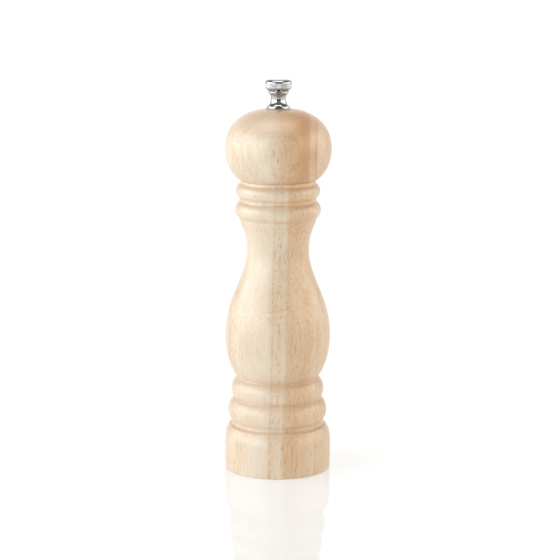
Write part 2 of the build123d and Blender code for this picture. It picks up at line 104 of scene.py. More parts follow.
def vector(tree: Tree, x: Socket | float = 0.0, y: Socket | float = 0.0, z: Socket | float = 0.0) -> Socket:
    """Put three numbers together into a vector."""
    return add(tree, "ShaderNodeCombineXYZ", {"X": x, "Y": y, "Z": z}).outputs[0]


def part(tree: Tree, value: Socket, axis: str) -> Socket:
    """Take "X", "Y" or "Z" out of a vector."""
    return add(tree, "ShaderNodeSeparateXYZ", {0: value}).outputs[axis]


def round_about(tree: Tree, angle: Socket, radius: Socket, height: Socket | float = 0.0) -> Socket:
    """Place a point round the axis."""
    return vector(tree, maths(tree, "MULTIPLY", maths(tree, "COSINE", angle), radius),
                  maths(tree, "MULTIPLY", maths(tree, "SINE", angle), radius), height)


def geometry_tree(name: str, takes: str, numbers: dict[str, float | int], gives: str) -> Tree:
    """Start a Geometry Nodes tree that has numbers and a finish to set.

    Args:
        name: The tree's name.
        takes: Name of the geometry that it is given.
        numbers: Names and defaults of its numbers; a whole default makes a whole-number input.
        gives: Name of the geometry that it returns.

    Returns:
        The tree, with no node in it yet.
    """
    tree = bpy.data.node_groups.new(name, "GeometryNodeTree")
    face = tree.interface
    face.new_socket(takes, in_out="INPUT", socket_type="NodeSocketGeometry")
    for number, value in numbers.items():
        kind = "NodeSocketInt" if isinstance(value, int) else "NodeSocketFloat"
        face.new_socket(number, in_out="INPUT", socket_type=kind).default_value = value
    face.new_socket("Finish", in_out="INPUT", socket_type="NodeSocketMaterial")
    face.new_socket(gives, in_out="OUTPUT", socket_type="NodeSocketGeometry")
    return tree


def send_out(tree: Tree, given: bpy.types.Node, shape: Socket, gives: str) -> None:
    """Make a tree's result real, give it its finish and connect it to the output."""
    real = add(tree, "GeometryNodeRealizeInstances", {"Geometry": shape}).outputs[0]
    done = add(tree, "GeometryNodeSetMaterial", {"Geometry": real, "Material": given.outputs["Finish"]})
    add(tree, "NodeGroupOutput", {gives: done.outputs[0]})


# ---------------------------------------------------------------- outlines
NOSE_PASSES = 8            # how often a crease is smoothed, which gives it the tool's nose radius
NOSE_POINTS = 3            # how many points on either side of a crease that reaches
CREASE_SHADE_POINTS = 30           # how many points on either side the painted crease shade reaches over
CREASE_SHADE_LINE = 0.62           # share of the painted crease shade that lies in the crease itself
CREASE_SHADE_LINE_MM = 0.4         # and how wide that line is


@dataclass
class Outline:
    """A line of points (radius, height) in millimetres, with what is cut into each of them.

    Attributes:
        points: Radius and height of each point.
        marks: For each point, the share of groove set A and of set B that is cut there, how
            square the section is, and how much painted shade it gets.
        creases: Number of each point at the bottom of a cut, and how much painted shade it gets.
        fine: Length of the steps along a line or curve.
        mark: The marks that the next points get.
    """

    points: list[tuple[float, float]] = field(default_factory=list)
    marks: list[tuple[float, float, float, float]] = field(default_factory=list)
    creases: list[tuple[int, float]] = field(default_factory=list)
    fine: float = 0.6
    mark: tuple[float, float, float, float] = (0.0, 0.0, 0.0, 0.0)

    def to(self, radius: float, height: float) -> "Outline":
        """Go straight to a point, in steps of `fine`."""
        if not self.points:
            return self._put(radius, height)
        r0, z0 = self.points[-1]
        steps = max(1, round(math.hypot(radius - r0, height - z0) / self.fine))
        for k in range(1, steps + 1):
            self._put(r0 + (radius - r0) * k / steps, z0 + (height - z0) * k / steps)
        return self

    def jump(self, radius: float, height: float) -> "Outline":
        """Go straight to a point with nothing between."""
        return self._put(radius, height)

    def arc(self, through: tuple[float, float], end: tuple[float, float]) -> "Outline":
        """Follow a round arc.

        Args:
            through: A point halfway along, or near it.
            end: The arc's last point.

        Returns:
            The outline.
        """
        (ax, ay), (bx, by), (cx, cy) = self.points[-1], through, end
        d = 2 * (ax * (by - cy) + bx * (cy - ay) + cx * (ay - by))
        aa, bb, cc = ax * ax + ay * ay, bx * bx + by * by, cx * cx + cy * cy
        ux = (aa * (by - cy) + bb * (cy - ay) + cc * (ay - by)) / d
        uy = (aa * (cx - bx) + bb * (ax - cx) + cc * (bx - ax)) / d
        radius = math.hypot(ax - ux, ay - uy)
        turns = [math.atan2(y - uy, x - ux) for x, y in ((ax, ay), (bx, by), (cx, cy))]
        side = 1 if (bx - ax) * (cy - ay) - (by - ay) * (cx - ax) > 0 else -1
        sweep = side * ((side * (turns[2] - turns[0])) % (2 * math.pi))
        steps = max(4, round(abs(sweep) * radius / self.fine))
        for k in range(1, steps + 1):
            turn = turns[0] + sweep * k / steps
            self._put(ux + radius * math.cos(turn), uy + radius * math.sin(turn))
        return self

    def curve(self, pull_a: tuple[float, float], pull_b: tuple[float, float],
              end: tuple[float, float]) -> "Outline":
        """Follow a cubic curve.

        Args:
            pull_a: The point that the start heads for.
            pull_b: The point that the end comes from.
            end: The curve's last point.

        Returns:
            The outline.
        """
        p = [Vector(q) for q in (self.points[-1], pull_a, pull_b, end)]
        steps = max(6, round((p[3] - p[0]).length / self.fine))
        for k in range(1, steps + 1):
            t = k / steps
            u = 1 - t
            q = u ** 3 * p[0] + 3 * u ** 2 * t * p[1] + 3 * u * t * t * p[2] + t ** 3 * p[3]
            self._put(q.x, q.y)
        return self

    def corner(self, radius: float, height: float, ease: float,
               next_radius: float, next_height: float) -> "Outline":
        """Go to a corner and round it off towards the next point.

        Args:
            radius: The corner's radius.
            height: The corner's height.
            ease: How far before and after the corner the rounding starts and ends.
            next_radius: Radius of the point that the outline goes on to.
            next_height: Height of that point.

        Returns:
            The outline.
        """
        here, corner = Vector(self.points[-1]), Vector((radius, height))
        after = Vector((next_radius, next_height))
        enter = corner + (here - corner).normalized() * min(ease, (here - corner).length * 0.5)
        leave = corner + (after - corner).normalized() * min(ease, (after - corner).length * 0.5)
        self.to(*enter)
        for k in range(1, 5):
            t = k / 4
            self._put(*((1 - t) ** 2 * enter + 2 * (1 - t) * t * corner + t * t * leave))
        return self

    def rounded(self, corners: list[tuple[float, float]], ease: float) -> "Outline":
        """Follow a closed ring of corners, from and to the middle of its closing side."""
        first, last = Vector(corners[0]), Vector(corners[-1])
        middle = (first + last) / 2
        self._put(*middle)
        ring = corners + [tuple(middle)]
        for k in range(len(corners)):
            self.corner(*ring[k], ease, *ring[k + 1])
        return self.to(*middle)

    def cut(self, a: float = 0.0, b: float = 0.0, square: float = 0.0, crease_shade: float = 0.0) -> "Outline":
        """Set what is cut into the points that follow, and how much painted shade they get."""
        self.mark = (a, b, square, crease_shade)
        return self

    def crease(self, painted_shade: float) -> "Outline":
        """Note that the last point is the bottom of a cut, with this much painted shade in it."""
        self.creases.append((len(self.points) - 1, painted_shade))
        return self

    def round_and_shade(self, below_mm: float = 0.45, above_mm: float = 1.3) -> "Outline":
        """Give each crease the tool's nose radius, and paint shade in it and up its sides.

        Args:
            below_mm: How far the painted shade reaches below a crease.
            above_mm: How far it reaches up the overhanging side.

        Returns:
            The outline.
        """
        spots = [Vector(p) for p in self.points]
        for at, painted_shade in self.creases:
            for _ in range(NOSE_PASSES):
                near = range(at - NOSE_POINTS, at + NOSE_POINTS + 1)
                moved = {k: (spots[k - 1] + 2 * spots[k] + spots[k + 1]) / 4 for k in near}
                for k, spot in moved.items():
                    spots[k] = spot
            # painted shade: darkest in the crease, fading up the overhang and down the other side
            bottom = spots[at]
            for k in range(max(at - CREASE_SHADE_POINTS, 0), min(at + CREASE_SHADE_POINTS, len(spots))):
                away = (spots[k] - bottom).length
                reach = above_mm if spots[k].y > bottom.y else below_mm
                narrow, wide = math.exp(-away / CREASE_SHADE_LINE_MM), math.exp(-away / reach)
                share = painted_shade * (CREASE_SHADE_LINE * narrow + (1 - CREASE_SHADE_LINE) * wide)
                a, b, square, crease_shade = self.marks[k]
                self.marks[k] = (a, b, square, max(crease_shade, share))
        self.points = [tuple(spot) for spot in spots]
        return self

    def _put(self, radius: float, height: float) -> "Outline":
        """Add one point with the present marks."""
        self.points.append((radius, height))
        self.marks.append(self.mark)
        return self


@dataclass(frozen=True)
class Grooves:
    """Helical grooves that the lathe cuts: threads, knurls, teeth and flutes.

    Attributes:
        count: Grooves around the piece, or starts of a thread.
        depth: Depth in millimetres.
        lean: Turns a millimetre of height; its sign is the hand.
        skew: Where between two ridges the groove is deepest, from 0 to 1.
        land: Share of the ridge left uncut.
    """

    count: int = 0
    depth: float = 0.0
    lean: float = 0.0
    skew: float = 0.5
    land: float = 0.0


# the last mark, after the grooves and the squareness, is the share of painted crease shade
MARKS = ("cut_a", "cut_b", "square", "crease_shade")
WELD = 2e-7                # metres; points of the lathe's seam and axis nearer than this become one
SQUARE_CORNER = 1.33       # a drawn square's corner radius over half its side


class Lathe:
    """One Geometry Nodes tree that turns an outline into a closed solid of revolution."""

    def __init__(self) -> None:
        """Build the tree."""
        numbers = {"Segments": 128, "Smooth Angle": 0.6}
        for letter in "AB":
            numbers |= {f"{letter} Count": 0.0, f"{letter} Depth": 0.0, f"{letter} Lean": 0.0,
                        f"{letter} Skew": 0.5, f"{letter} Land": 0.0}
        self.tree = geometry_tree("lathe", "Outline", numbers, "Solid")
        self._build()

    def _groove(self, given: bpy.types.Node, letter: str, turn: Socket, height: Socket,
                share: Socket) -> Socket:
        """Depth of one groove set at a point.

        Args:
            given: The tree's input node.
            letter: "A" or "B".
            turn: The point's bearing, in turns.
            height: The point's height in millimetres.
            share: Signed share of the depth; negative inside a bore.

        Returns:
            Signed depth in metres.
        """
        t = self.tree
        around = maths(t, "MULTIPLY", turn, given.outputs[f"{letter} Count"])
        along = maths(t, "MULTIPLY", height, given.outputs[f"{letter} Lean"])
        phase = maths(t, "FRACT", maths(t, "ADD", maths(t, "ADD", around, along), 500.0))
        skew = given.outputs[f"{letter} Skew"]
        rise = maths(t, "DIVIDE", phase, skew)
        fall = maths(t, "DIVIDE", maths(t, "SUBTRACT", 1.0, phase), maths(t, "SUBTRACT", 1.0, skew))
        wave = maths(t, "MINIMUM", rise, fall)
        land = given.outputs[f"{letter} Land"]
        over = maths(t, "DIVIDE", maths(t, "SUBTRACT", wave, land), maths(t, "SUBTRACT", 1.0, land),
                     clamp=True)
        deep = maths(t, "MULTIPLY", over, given.outputs[f"{letter} Depth"])
        return maths(t, "MULTIPLY", deep, share)

    def _sampled(self, outline: Socket, value: Socket, row: Socket, kind: str) -> Socket:
        """Read a value of the outline at a row."""
        sampled = {"Geometry": outline, "Value": value, "Index": row}
        return add(self.tree, "GeometryNodeSampleIndex", sampled, data_type=kind).outputs[0]

    def _build(self) -> None:
        """Lay out the nodes: a grid rolled round the axis, one row for each outline point."""
        t = self.tree
        given = add(t, "NodeGroupInput")
        outline = given.outputs["Outline"]
        rows = add(t, "GeometryNodeAttributeDomainSize", {"Geometry": outline}, component="MESH")
        rows = rows.outputs["Point Count"]
        columns = maths(t, "ADD", given.outputs["Segments"], 1.0)
        grid = add(t, "GeometryNodeMeshGrid", {"Vertices X": columns, "Vertices Y": rows}).outputs["Mesh"]
        index = add(t, "GeometryNodeInputIndex").outputs[0]
        column = maths(t, "FLOOR", maths(t, "DIVIDE", maths(t, "ADD", index, 0.5), rows))
        row = maths(t, "SUBTRACT", index, maths(t, "MULTIPLY", column, rows))
        turn = maths(t, "DIVIDE", column, given.outputs["Segments"])
        here = add(t, "GeometryNodeInputPosition").outputs[0]
        place = self._sampled(outline, here, row, "FLOAT_VECTOR")
        share = {}
        for name in MARKS:
            named = add(t, "GeometryNodeInputNamedAttribute", {"Name": name}, data_type="FLOAT").outputs[0]
            share[name] = self._sampled(outline, named, row, "FLOAT")
        radius, height = part(t, place, "X"), part(t, place, "Z")
        height_mm = maths(t, "MULTIPLY", height, 1 / MM)
        a = self._groove(given, "A", turn, height_mm, share["cut_a"])
        b = self._groove(given, "B", turn, height_mm, share["cut_b"])
        a_deeper = maths(t, "GREATER_THAN", maths(t, "ABSOLUTE", a), maths(t, "ABSOLUTE", b))
        deepest = add(t, "ShaderNodeMix", {"Factor": a_deeper, "A": b, "B": a},
                      data_type="FLOAT").outputs[0]
        angle = maths(t, "MULTIPLY", turn, 2 * math.pi)
        across, along = maths(t, "COSINE", angle), maths(t, "SINE", angle)
        nearest = maths(t, "MAXIMUM", maths(t, "ABSOLUTE", across), maths(t, "ABSOLUTE", along))
        stretch = maths(t, "MINIMUM", maths(t, "DIVIDE", 1.0, nearest), SQUARE_CORNER)
        shape = add(t, "ShaderNodeMix", {"Factor": share["square"], "A": 1.0, "B": stretch},
                    data_type="FLOAT").outputs[0]
        reach = maths(t, "SUBTRACT", maths(t, "MULTIPLY", radius, shape), deepest)
        spot = round_about(t, angle, reach, height)
        rolled = add(t, "GeometryNodeSetPosition", {"Geometry": grid, "Position": spot}).outputs[0]
        # store each point's share of painted crease shade for the wood's material
        painted_shade = add(t, "GeometryNodeStoreNamedAttribute",
                     {"Geometry": rolled, "Name": "crease_shade", "Value": share["crease_shade"]},
                     data_type="FLOAT", domain="POINT").outputs[0]
        closed = add(t, "GeometryNodeMergeByDistance", {"Geometry": painted_shade, "Distance": WELD}).outputs[0]
        smooth = add(t, "GeometryNodeSetShadeSmooth", {"Geometry": closed, "Shade Smooth": True},
                     domain="FACE").outputs[0]
        bend = add(t, "GeometryNodeInputMeshEdgeAngle").outputs["Unsigned Angle"]
        crease = maths(t, "GREATER_THAN", bend, given.outputs["Smooth Angle"])
        sharp = add(t, "GeometryNodeSetShadeSmooth",
                    {"Geometry": smooth, "Selection": crease, "Shade Smooth": False},
                    domain="EDGE").outputs[0]
        send_out(t, given, sharp, "Solid")

    def turn(self, name: str, outline: Outline, finish: bpy.types.Material, segments: int = 128,
             a: Grooves = Grooves(), b: Grooves = Grooves(), smooth_deg: float = 32.0) -> bpy.types.Object:
        """Turn an outline into a finished mesh.

        Args:
            name: The new object's name.
            outline: The points, from one end of the axis or round a closed section.
            finish: The material.
            segments: Faces around the axis.
            a: First set of grooves.
            b: Second set of grooves.
            smooth_deg: Edges that bend more than this stay sharp.

        Returns:
            A plain mesh object at the origin, with no modifier.
        """
        mesh = bpy.data.meshes.new(name + "_outline")
        mesh.from_pydata([(r * MM, 0, z * MM) for r, z in outline.points],
                         [(k, k + 1) for k in range(len(outline.points) - 1)], [])
        for k, mark in enumerate(MARKS):
            values = mesh.attributes.new(mark, "FLOAT", "POINT")
            values.data.foreach_set("value", [m[k] for m in outline.marks])
        values = {"Segments": segments, "Smooth Angle": math.radians(smooth_deg), "Finish": finish}
        for letter, cut in (("A", a), ("B", b)):
            values |= {f"{letter} Count": float(cut.count), f"{letter} Depth": cut.depth * MM,
                       f"{letter} Lean": cut.lean * max(cut.count, 1), f"{letter} Skew": cut.skew,
                       f"{letter} Land": cut.land}
        return grown(name, mesh, self.tree, values)


def grown(name: str, mesh: bpy.types.Mesh, tree: Tree, values: dict[str, object]) -> bpy.types.Object:
    """Run a Geometry Nodes tree on a mesh and keep the result as a plain mesh.

    Args:
        name: The new object's name.
        mesh: What the tree is given.
        tree: The tree.
        values: Input name to value.

    Returns:
        The finished object, in the scene, at the origin.
    """
    source = bpy.data.objects.new(name + "_source", mesh)
    bpy.context.scene.collection.objects.link(source)
    modifier = source.modifiers.new("tree", "NODES")
    modifier.node_group = tree
    sockets = {s.name: s.identifier for s in tree.interface.items_tree if s.in_out == "INPUT"}
    for key, value in values.items():
        modifier[sockets[key]] = value
    depsgraph = bpy.context.evaluated_depsgraph_get()
    result = bpy.data.meshes.new_from_object(source.evaluated_get(depsgraph), depsgraph=depsgraph)
    bpy.data.objects.remove(source)
    result.name = name
    if len(result.materials) > 1 and result.materials[0] is None:
        result.materials.pop(index=0)
    return faced_out(bpy.data.objects.new(name, result))


def faced_out(obj: bpy.types.Object) -> bpy.types.Object:
    """Link an object to the scene with its faces pointing outwards."""
    shape = bmesh.new()
    shape.from_mesh(obj.data)
    bmesh.ops.recalc_face_normals(shape, faces=shape.faces)
    if shape.calc_volume(signed=True) < 0:
        bmesh.ops.reverse_faces(shape, faces=shape.faces)
    shape.to_mesh(obj.data)
    shape.free()
    bpy.context.scene.collection.objects.link(obj)
    return obj


def eased(node: str, name: str, finish: bpy.types.Material, ease_mm: float) -> bpy.types.Object:
    """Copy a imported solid, merge it and round its edges a little, as a press or file leaves them.

    Args:
        node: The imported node.
        name: The new object's name.
        finish: The material.
        ease_mm: Width of the rounding.

    Returns:
        The finished object at the origin.
    """
    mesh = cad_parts[node].data.copy()
    mesh.name = name
    shape = bmesh.new()
    shape.from_mesh(mesh)
    bmesh.ops.remove_doubles(shape, verts=shape.verts, dist=2e-6)
    bmesh.ops.dissolve_limit(shape, angle_limit=math.radians(0.5), verts=shape.verts, edges=shape.edges)
    corners = [e for e in shape.edges if len(e.link_faces) == 2 and e.calc_face_angle() > math.radians(35)]
    bmesh.ops.bevel(shape, geom=corners, offset=ease_mm * MM, offset_type="OFFSET", segments=2, profile=0.5,
                    affect="EDGES", clamp_overlap=True)
    bmesh.ops.remove_doubles(shape, verts=shape.verts, dist=1e-6)
    for face in shape.faces:
        face.smooth = True
    for edge in shape.edges:
        edge.smooth = len(edge.link_faces) != 2 or edge.calc_face_angle() < math.radians(30)
    shape.to_mesh(mesh)
    shape.free()
    mesh.materials.clear()
    mesh.materials.append(finish)
    obj = bpy.data.objects.new(name, mesh)
    bpy.context.scene.collection.objects.link(obj)
    return obj


SCREW_TWIST = 1.4          # each screw of a ring stops turned on by this share of its bearing


class Fixings:
    """Geometry Nodes tree that cuts a cross recess in a screw and sets copies of it in a ring."""

    def __init__(self) -> None:
        """Build the tree."""
        t = geometry_tree("ring_of_screws", "Screw", {
            "Count": 2, "Ring Radius": 0.02, "Cross Length": 0.003, "Cross Width": 0.0008,
            "Cross Depth": 0.001, "Head Face": 0.0}, "Screws")
        given = add(t, "NodeGroupInput")
        depth = maths(t, "MULTIPLY", given.outputs["Cross Depth"], 2.0)
        bars = []
        for first, second in (("Cross Length", "Cross Width"), ("Cross Width", "Cross Length")):
            size = vector(t, given.outputs[first], given.outputs[second], depth)
            bars.append(add(t, "GeometryNodeMeshCube", {"Size": size}).outputs["Mesh"])
        lift = vector(t, z=given.outputs["Head Face"])
        cross = add(t, "GeometryNodeMeshBoolean", operation="UNION", solver="EXACT")
        for bar in bars:
            t.links.new(bar, cross.inputs["Mesh 2"])
        cutter = add(t, "GeometryNodeTransform", {"Geometry": cross.outputs[0], "Translation": lift})
        cut = add(t, "GeometryNodeMeshBoolean",
                  {"Mesh 1": given.outputs["Screw"], "Mesh 2": cutter.outputs[0]},
                  operation="DIFFERENCE", solver="EXACT").outputs[0]
        index = add(t, "GeometryNodeInputIndex").outputs[0]
        turn = maths(t, "MULTIPLY", maths(t, "DIVIDE", index, given.outputs["Count"]), 2 * math.pi)
        spot = round_about(t, turn, given.outputs["Ring Radius"])
        points = add(t, "GeometryNodePoints",
                     {"Count": given.outputs["Count"], "Position": spot}).outputs[0]
        facing = vector(t, z=maths(t, "MULTIPLY", turn, SCREW_TWIST))
        copies = add(t, "GeometryNodeInstanceOnPoints",
                     {"Points": points, "Instance": cut, "Rotation": facing}).outputs[0]
        send_out(t, given, copies, "Screws")
        self.tree = t


COIL_STEPS = 360           # points along a spring's wire
WIRE_SIDES = 16            # faces round it


class Coil:
    """Geometry Nodes tree that winds a compression spring with closed end turns."""

    def __init__(self) -> None:
        """Build the tree."""
        t = geometry_tree("coil_spring", "Seed", {
            "Turns": 5.5, "Mean Radius": 0.005, "Wire Radius": 0.0005, "Low": 0.0, "High": 0.01}, "Spring")
        given = add(t, "NodeGroupInput")
        turns, wire = given.outputs["Turns"], given.outputs["Wire Radius"]
        line = add(t, "GeometryNodeCurvePrimitiveLine").outputs[0]
        line = add(t, "GeometryNodeResampleCurve", {"Curve": line, "Count": COIL_STEPS}).outputs[0]
        along = add(t, "GeometryNodeSplineParameter").outputs["Factor"]
        turn = maths(t, "MULTIPLY", along, turns)
        angle = maths(t, "MULTIPLY", turn, 2 * math.pi)
        thick = maths(t, "MULTIPLY", wire, 2.0)
        first = maths(t, "MULTIPLY", maths(t, "MINIMUM", turn, 1.0), thick)
        left_over = maths(t, "ADD", turn, maths(t, "SUBTRACT", 1.0, turns), clamp=True)
        last = maths(t, "MULTIPLY", left_over, thick)
        room = maths(t, "SUBTRACT", given.outputs["High"], given.outputs["Low"])
        open_height = maths(t, "SUBTRACT", room, maths(t, "MULTIPLY", thick, 3.0))
        share = maths(t, "DIVIDE", maths(t, "SUBTRACT", turn, 1.0), maths(t, "SUBTRACT", turns, 2.0),
                      clamp=True)
        rise = maths(t, "ADD", maths(t, "ADD", first, last), maths(t, "MULTIPLY", share, open_height))
        height = maths(t, "ADD", maths(t, "ADD", given.outputs["Low"], wire), rise)
        spot = round_about(t, angle, given.outputs["Mean Radius"], height)
        wound = add(t, "GeometryNodeSetPosition", {"Geometry": line, "Position": spot}).outputs[0]
        section = add(t, "GeometryNodeCurvePrimitiveCircle", {"Resolution": WIRE_SIDES, "Radius": wire})
        solid = add(t, "GeometryNodeCurveToMesh",
                    {"Curve": wound, "Profile Curve": section.outputs[0], "Fill Caps": True}).outputs[0]
        smooth = add(t, "GeometryNodeSetShadeSmooth", {"Geometry": solid, "Shade Smooth": True}).outputs[0]
        send_out(t, given, smooth, "Spring")
        self.tree = t


def placed(obj: bpy.types.Object, body: str, slot: str, *nodes: str) -> bpy.types.Object:
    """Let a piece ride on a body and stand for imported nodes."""
    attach(obj, body)
    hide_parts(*nodes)
    LOG.info("%s rides on %s: %d faces", obj.name, body, len(obj.data.polygons))
    return obj


def span(node: str) -> tuple[float, float, float]:
    """Lowest height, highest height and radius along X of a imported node, in millimetres."""
    low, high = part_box(node)
    return low.z / MM, high.z / MM, high.x / MM


# ---------------------------------------------------------------- finishes
def blank(name: str) -> tuple[bpy.types.Material, Tree, bpy.types.Node, Socket]:
    """Start a material.

    Args:
        name: The material's name.

    Returns:
        The material, its tree, its Principled shader and Object coordinates in millimetres.
    """
    material = bpy.data.materials.new(name)
    material.use_nodes = True
    tree = material.node_tree
    tree.nodes.clear()
    shader = add(tree, "ShaderNodeBsdfPrincipled")
    add(tree, "ShaderNodeOutputMaterial", {"Surface": shader.outputs[0]})
    metres = add(tree, "ShaderNodeTexCoord").outputs["Object"]
    mm = add(tree, "ShaderNodeMapping", {"Vector": metres, "Scale": (1 / MM,) * 3}).outputs[0]
    return material, tree, shader, mm


def noise(tree: Tree, place: Socket, sizes_mm: tuple[float, float, float], detail: float = 2.0,
          shift: float = 0.0) -> bpy.types.Node:
    """Noise whose features are about the given size along each axis."""
    scaled = add(tree, "ShaderNodeMapping", {
        "Vector": place, "Location": (shift, shift * 0.7, shift * 1.3),
        "Scale": tuple(1 / s for s in sizes_mm)}).outputs[0]
    return add(tree, "ShaderNodeTexNoise", {"Vector": scaled, "Scale": 1.0, "Detail": detail})


def ramp(tree: Tree, value: Socket, stops: list[tuple[float, float]]) -> Socket:
    """Draw a curve of levels over a value, through a Color Ramp.

    Args:
        tree: The tree that gets the node.
        value: What the curve is drawn over, from 0 to 1.
        stops: Where each stop lies, and its level.

    Returns:
        The level.
    """
    node = add(tree, "ShaderNodeValToRGB", {"Fac": value})
    band = node.color_ramp
    while len(band.elements) < len(stops):
        band.elements.new(1.0)
    for element, (where, level) in zip(band.elements, stops):
        element.position = where
        element.color = (level, level, level, 1)
    return node.outputs["Color"]


def blend_colours(tree: Tree, share: Socket | float, first: Socket | tuple,
                  second: Socket | tuple) -> Socket:
    """Mix two colours."""
    return add(tree, "ShaderNodeMix", {0: share, 6: first, 7: second}, data_type="RGBA").outputs[2]


def bumped(tree: Tree, shader: bpy.types.Node, height: Socket, strength: float, depth_mm: float,
           sunk: bool = False) -> None:
    """Give a shader a fine relief."""
    bump = add(tree, "ShaderNodeBump", {"Height": height, "Strength": strength, "Distance": depth_mm * MM},
               invert=sunk)
    tree.links.new(bump.outputs[0], shader.inputs["Normal"])


@dataclass(frozen=True)
class LacqueredWood:
    """Rubberwood, turned, sanded and sprayed with clear satin lacquer.

    It gives the eye a pale cream ground with upright bands of tan where the rays lie, fine
    curved lines where growth layers meet the surface, and vessels that show as ochre dashes on
    upright faces and as dots on sloping ones, under a soft broad sheen. The bands also carry
    painted side light, paler on the left and darker on the right, and the cuts carry painted
    shade in a darker orange.

    Attributes:
        name: What the wood and its finish are.
        stripes_and_side_light: Tone of the board across X, partly real bands and partly painted side light,
            paler on the left and darker on the right: (millimetres from the axis, 0 cream to 1 tan).
        lines: Thin reddish lines across X: (millimetres from the axis, strength).
        pith: Where the tree's heart lay, in millimetres, seen from above.
        shift: Moves every random pattern.
        cream: The palest wood.
        tan: The darkest band of the board.
        ochre: What stands in the vessels.
        reddish: The thin lines.
        end_grain: What faces across the grain.
        painted_shade: Painted shade in the cuts and under their overhangs, a darker orange.
        reach_mm: Half the width that the stripes are given over.
        vessel_mm: Width of the lattice cell that holds a large vessel.
        vessel_length_mm: Length of that cell.
        layer_mm: Thickness of a growth layer.
        fine_layer_mm: Distance between the faint lines in a layer.
        roughness: Of the wood under the lacquer.
        lean: Millimetres that the grain leans to the right for each millimetre of height.
        upright_mm: The height at which the lean moves nothing.
        sway_mm: How far a band of tone wanders across X and Y.
        shares: What layers, fine lines, fibres, streaks and patches add to the tone.
        stains_and_shade: How strongly small vessels, large vessels and the painted crease shade show.
    """

    name: str
    stripes_and_side_light: tuple[tuple[float, float], ...]
    lines: tuple[tuple[float, float], ...]
    pith: tuple[float, float]
    shift: float
    cream: str = "ecdbc3"
    tan: str = "d6ab79"
    ochre: str = "cc8d3d"
    reddish: str = "c08c6c"
    end_grain: str = "cea47c"
    painted_shade: str = "d08d49"
    reach_mm: float = 31.0
    vessel_mm: float = 1.0
    vessel_length_mm: float = 11.0
    layer_mm: float = 2.9
    fine_layer_mm: float = 0.8
    roughness: float = 0.42
    lean: float = 0.021
    upright_mm: float = 65.0
    sway_mm: tuple[float, float, float] = (2.2, 5.0, 0.0)
    shares: tuple[float, float, float, float, float] = (0.10, 0.16, 0.45, 0.30, 0.42)
    stains_and_shade: tuple[float, float, float] = (0.55, 0.78, 0.85)

    def make(self) -> bpy.types.Material:
        """Build the material."""
        material, t, shader, mm = blank(self.name)
        grain = self._grain(t, mm)
        stripe_and_side_light = self._stripe_and_side_light(t, grain)
        fibres = noise(t, grain, (0.8, 0.8, 26), 2.0, self.shift + 2).outputs["Fac"]
        patchy = noise(t, grain, (11, 11, 34), 2.0, self.shift + 9).outputs["Fac"]
        patches = ramp(t, patchy, [(0.40, 0.0), (0.64, 1.0)])
        tone = self._tone(t, grain, stripe_and_side_light, fibres, patchy, patches)
        colour = blend_colours(t, tone, linear(self.cream), linear(self.tan))
        colour = self._red_lines(t, part(t, grain, "X"), fibres, colour)
        crowd = maths(t, "MULTIPLY_ADD", stripe_and_side_light, 0.35, maths(t, "MULTIPLY", patches, 0.8), clamp=True)
        width, length = self.vessel_mm, self.vessel_length_mm
        large = self._vessels(t, grain, crowd, width, length, 0.50, 0.6)
        middle = self._vessels(t, grain, crowd, width * 0.85, length * 0.6, 0.43, 7.9)
        small = self._vessels(t, grain, crowd, width * 0.58, length * 0.3, 0.34, 3.7)
        vessels = maths(t, "MAXIMUM", large, middle)
        dot_share, dash_share, crease_shade_share = self.stains_and_shade
        # vessels and the painted crease shade both show more strongly in the tan bands
        stain_and_shade_strength = ramp(t, stripe_and_side_light, [(0.0, 0.40), (0.10, 0.46), (0.17, 1.0), (1.0, 1.0)])
        dots = maths(t, "MULTIPLY", small, maths(t, "MULTIPLY", stain_and_shade_strength, dot_share))
        colour = blend_colours(t, dots, colour, linear(self.ochre))
        dashes = maths(t, "MULTIPLY", vessels, maths(t, "MULTIPLY", stain_and_shade_strength, dash_share))
        colour = blend_colours(t, dashes, colour, linear(self.ochre))
        facing = part(t, add(t, "ShaderNodeTexCoord").outputs["Normal"], "Z")
        looks_up = maths(t, "MULTIPLY_ADD", facing, 0.5, 0.5)
        cut_end = ramp(t, looks_up, [(0.03, 0.22), (0.37, 0.0), (0.62, 0.0), (0.97, 0.50)])
        colour = blend_colours(t, cut_end, colour, linear(self.end_grain))
        # painted shade: a darker orange laid into the cuts and up their overhangs, by the share the lathe
        # stored
        crease_shade = add(t, "ShaderNodeAttribute", attribute_name="crease_shade").outputs["Fac"]
        crease_shaded = maths(t, "MULTIPLY", crease_shade, maths(t, "MULTIPLY", stain_and_shade_strength, crease_shade_share))
        colour = blend_colours(t, crease_shaded, colour, linear(self.painted_shade))
        t.links.new(colour, shader.inputs["Base Color"])
        rough = maths(t, "MULTIPLY_ADD", fibres, 0.06, self.roughness - 0.03)
        t.links.new(maths(t, "MULTIPLY_ADD", vessels, 0.14, rough), shader.inputs["Roughness"])
        bumped(t, shader, vessels, 0.25, 0.06, sunk=True)
        shader.inputs["Coat Weight"].default_value = 1.0
        shader.inputs["Coat Roughness"].default_value = 0.34
        return material

    def _grain(self, t: Tree, mm: Socket) -> Socket:
        """Millimetres in the board that the piece was turned from, where the grain leans and sways."""
        sway = noise(t, mm, (26, 26, 90), 1.0, self.shift).outputs["Color"]
        swing = add(t, "ShaderNodeVectorMath", {0: sway, 1: (0.5, 0.5, 0.5)}, operation="SUBTRACT")
        height = maths(t, "SUBTRACT", part(t, mm, "Z"), self.upright_mm)
        back = vector(t, maths(t, "MULTIPLY", height, -self.lean))
        stood = add(t, "ShaderNodeVectorMath", {0: mm, 1: back}, operation="ADD").outputs[0]
        return add(t, "ShaderNodeVectorMath", {0: swing.outputs[0], 1: self.sway_mm, 2: stood},
                   operation="MULTIPLY_ADD").outputs[0]

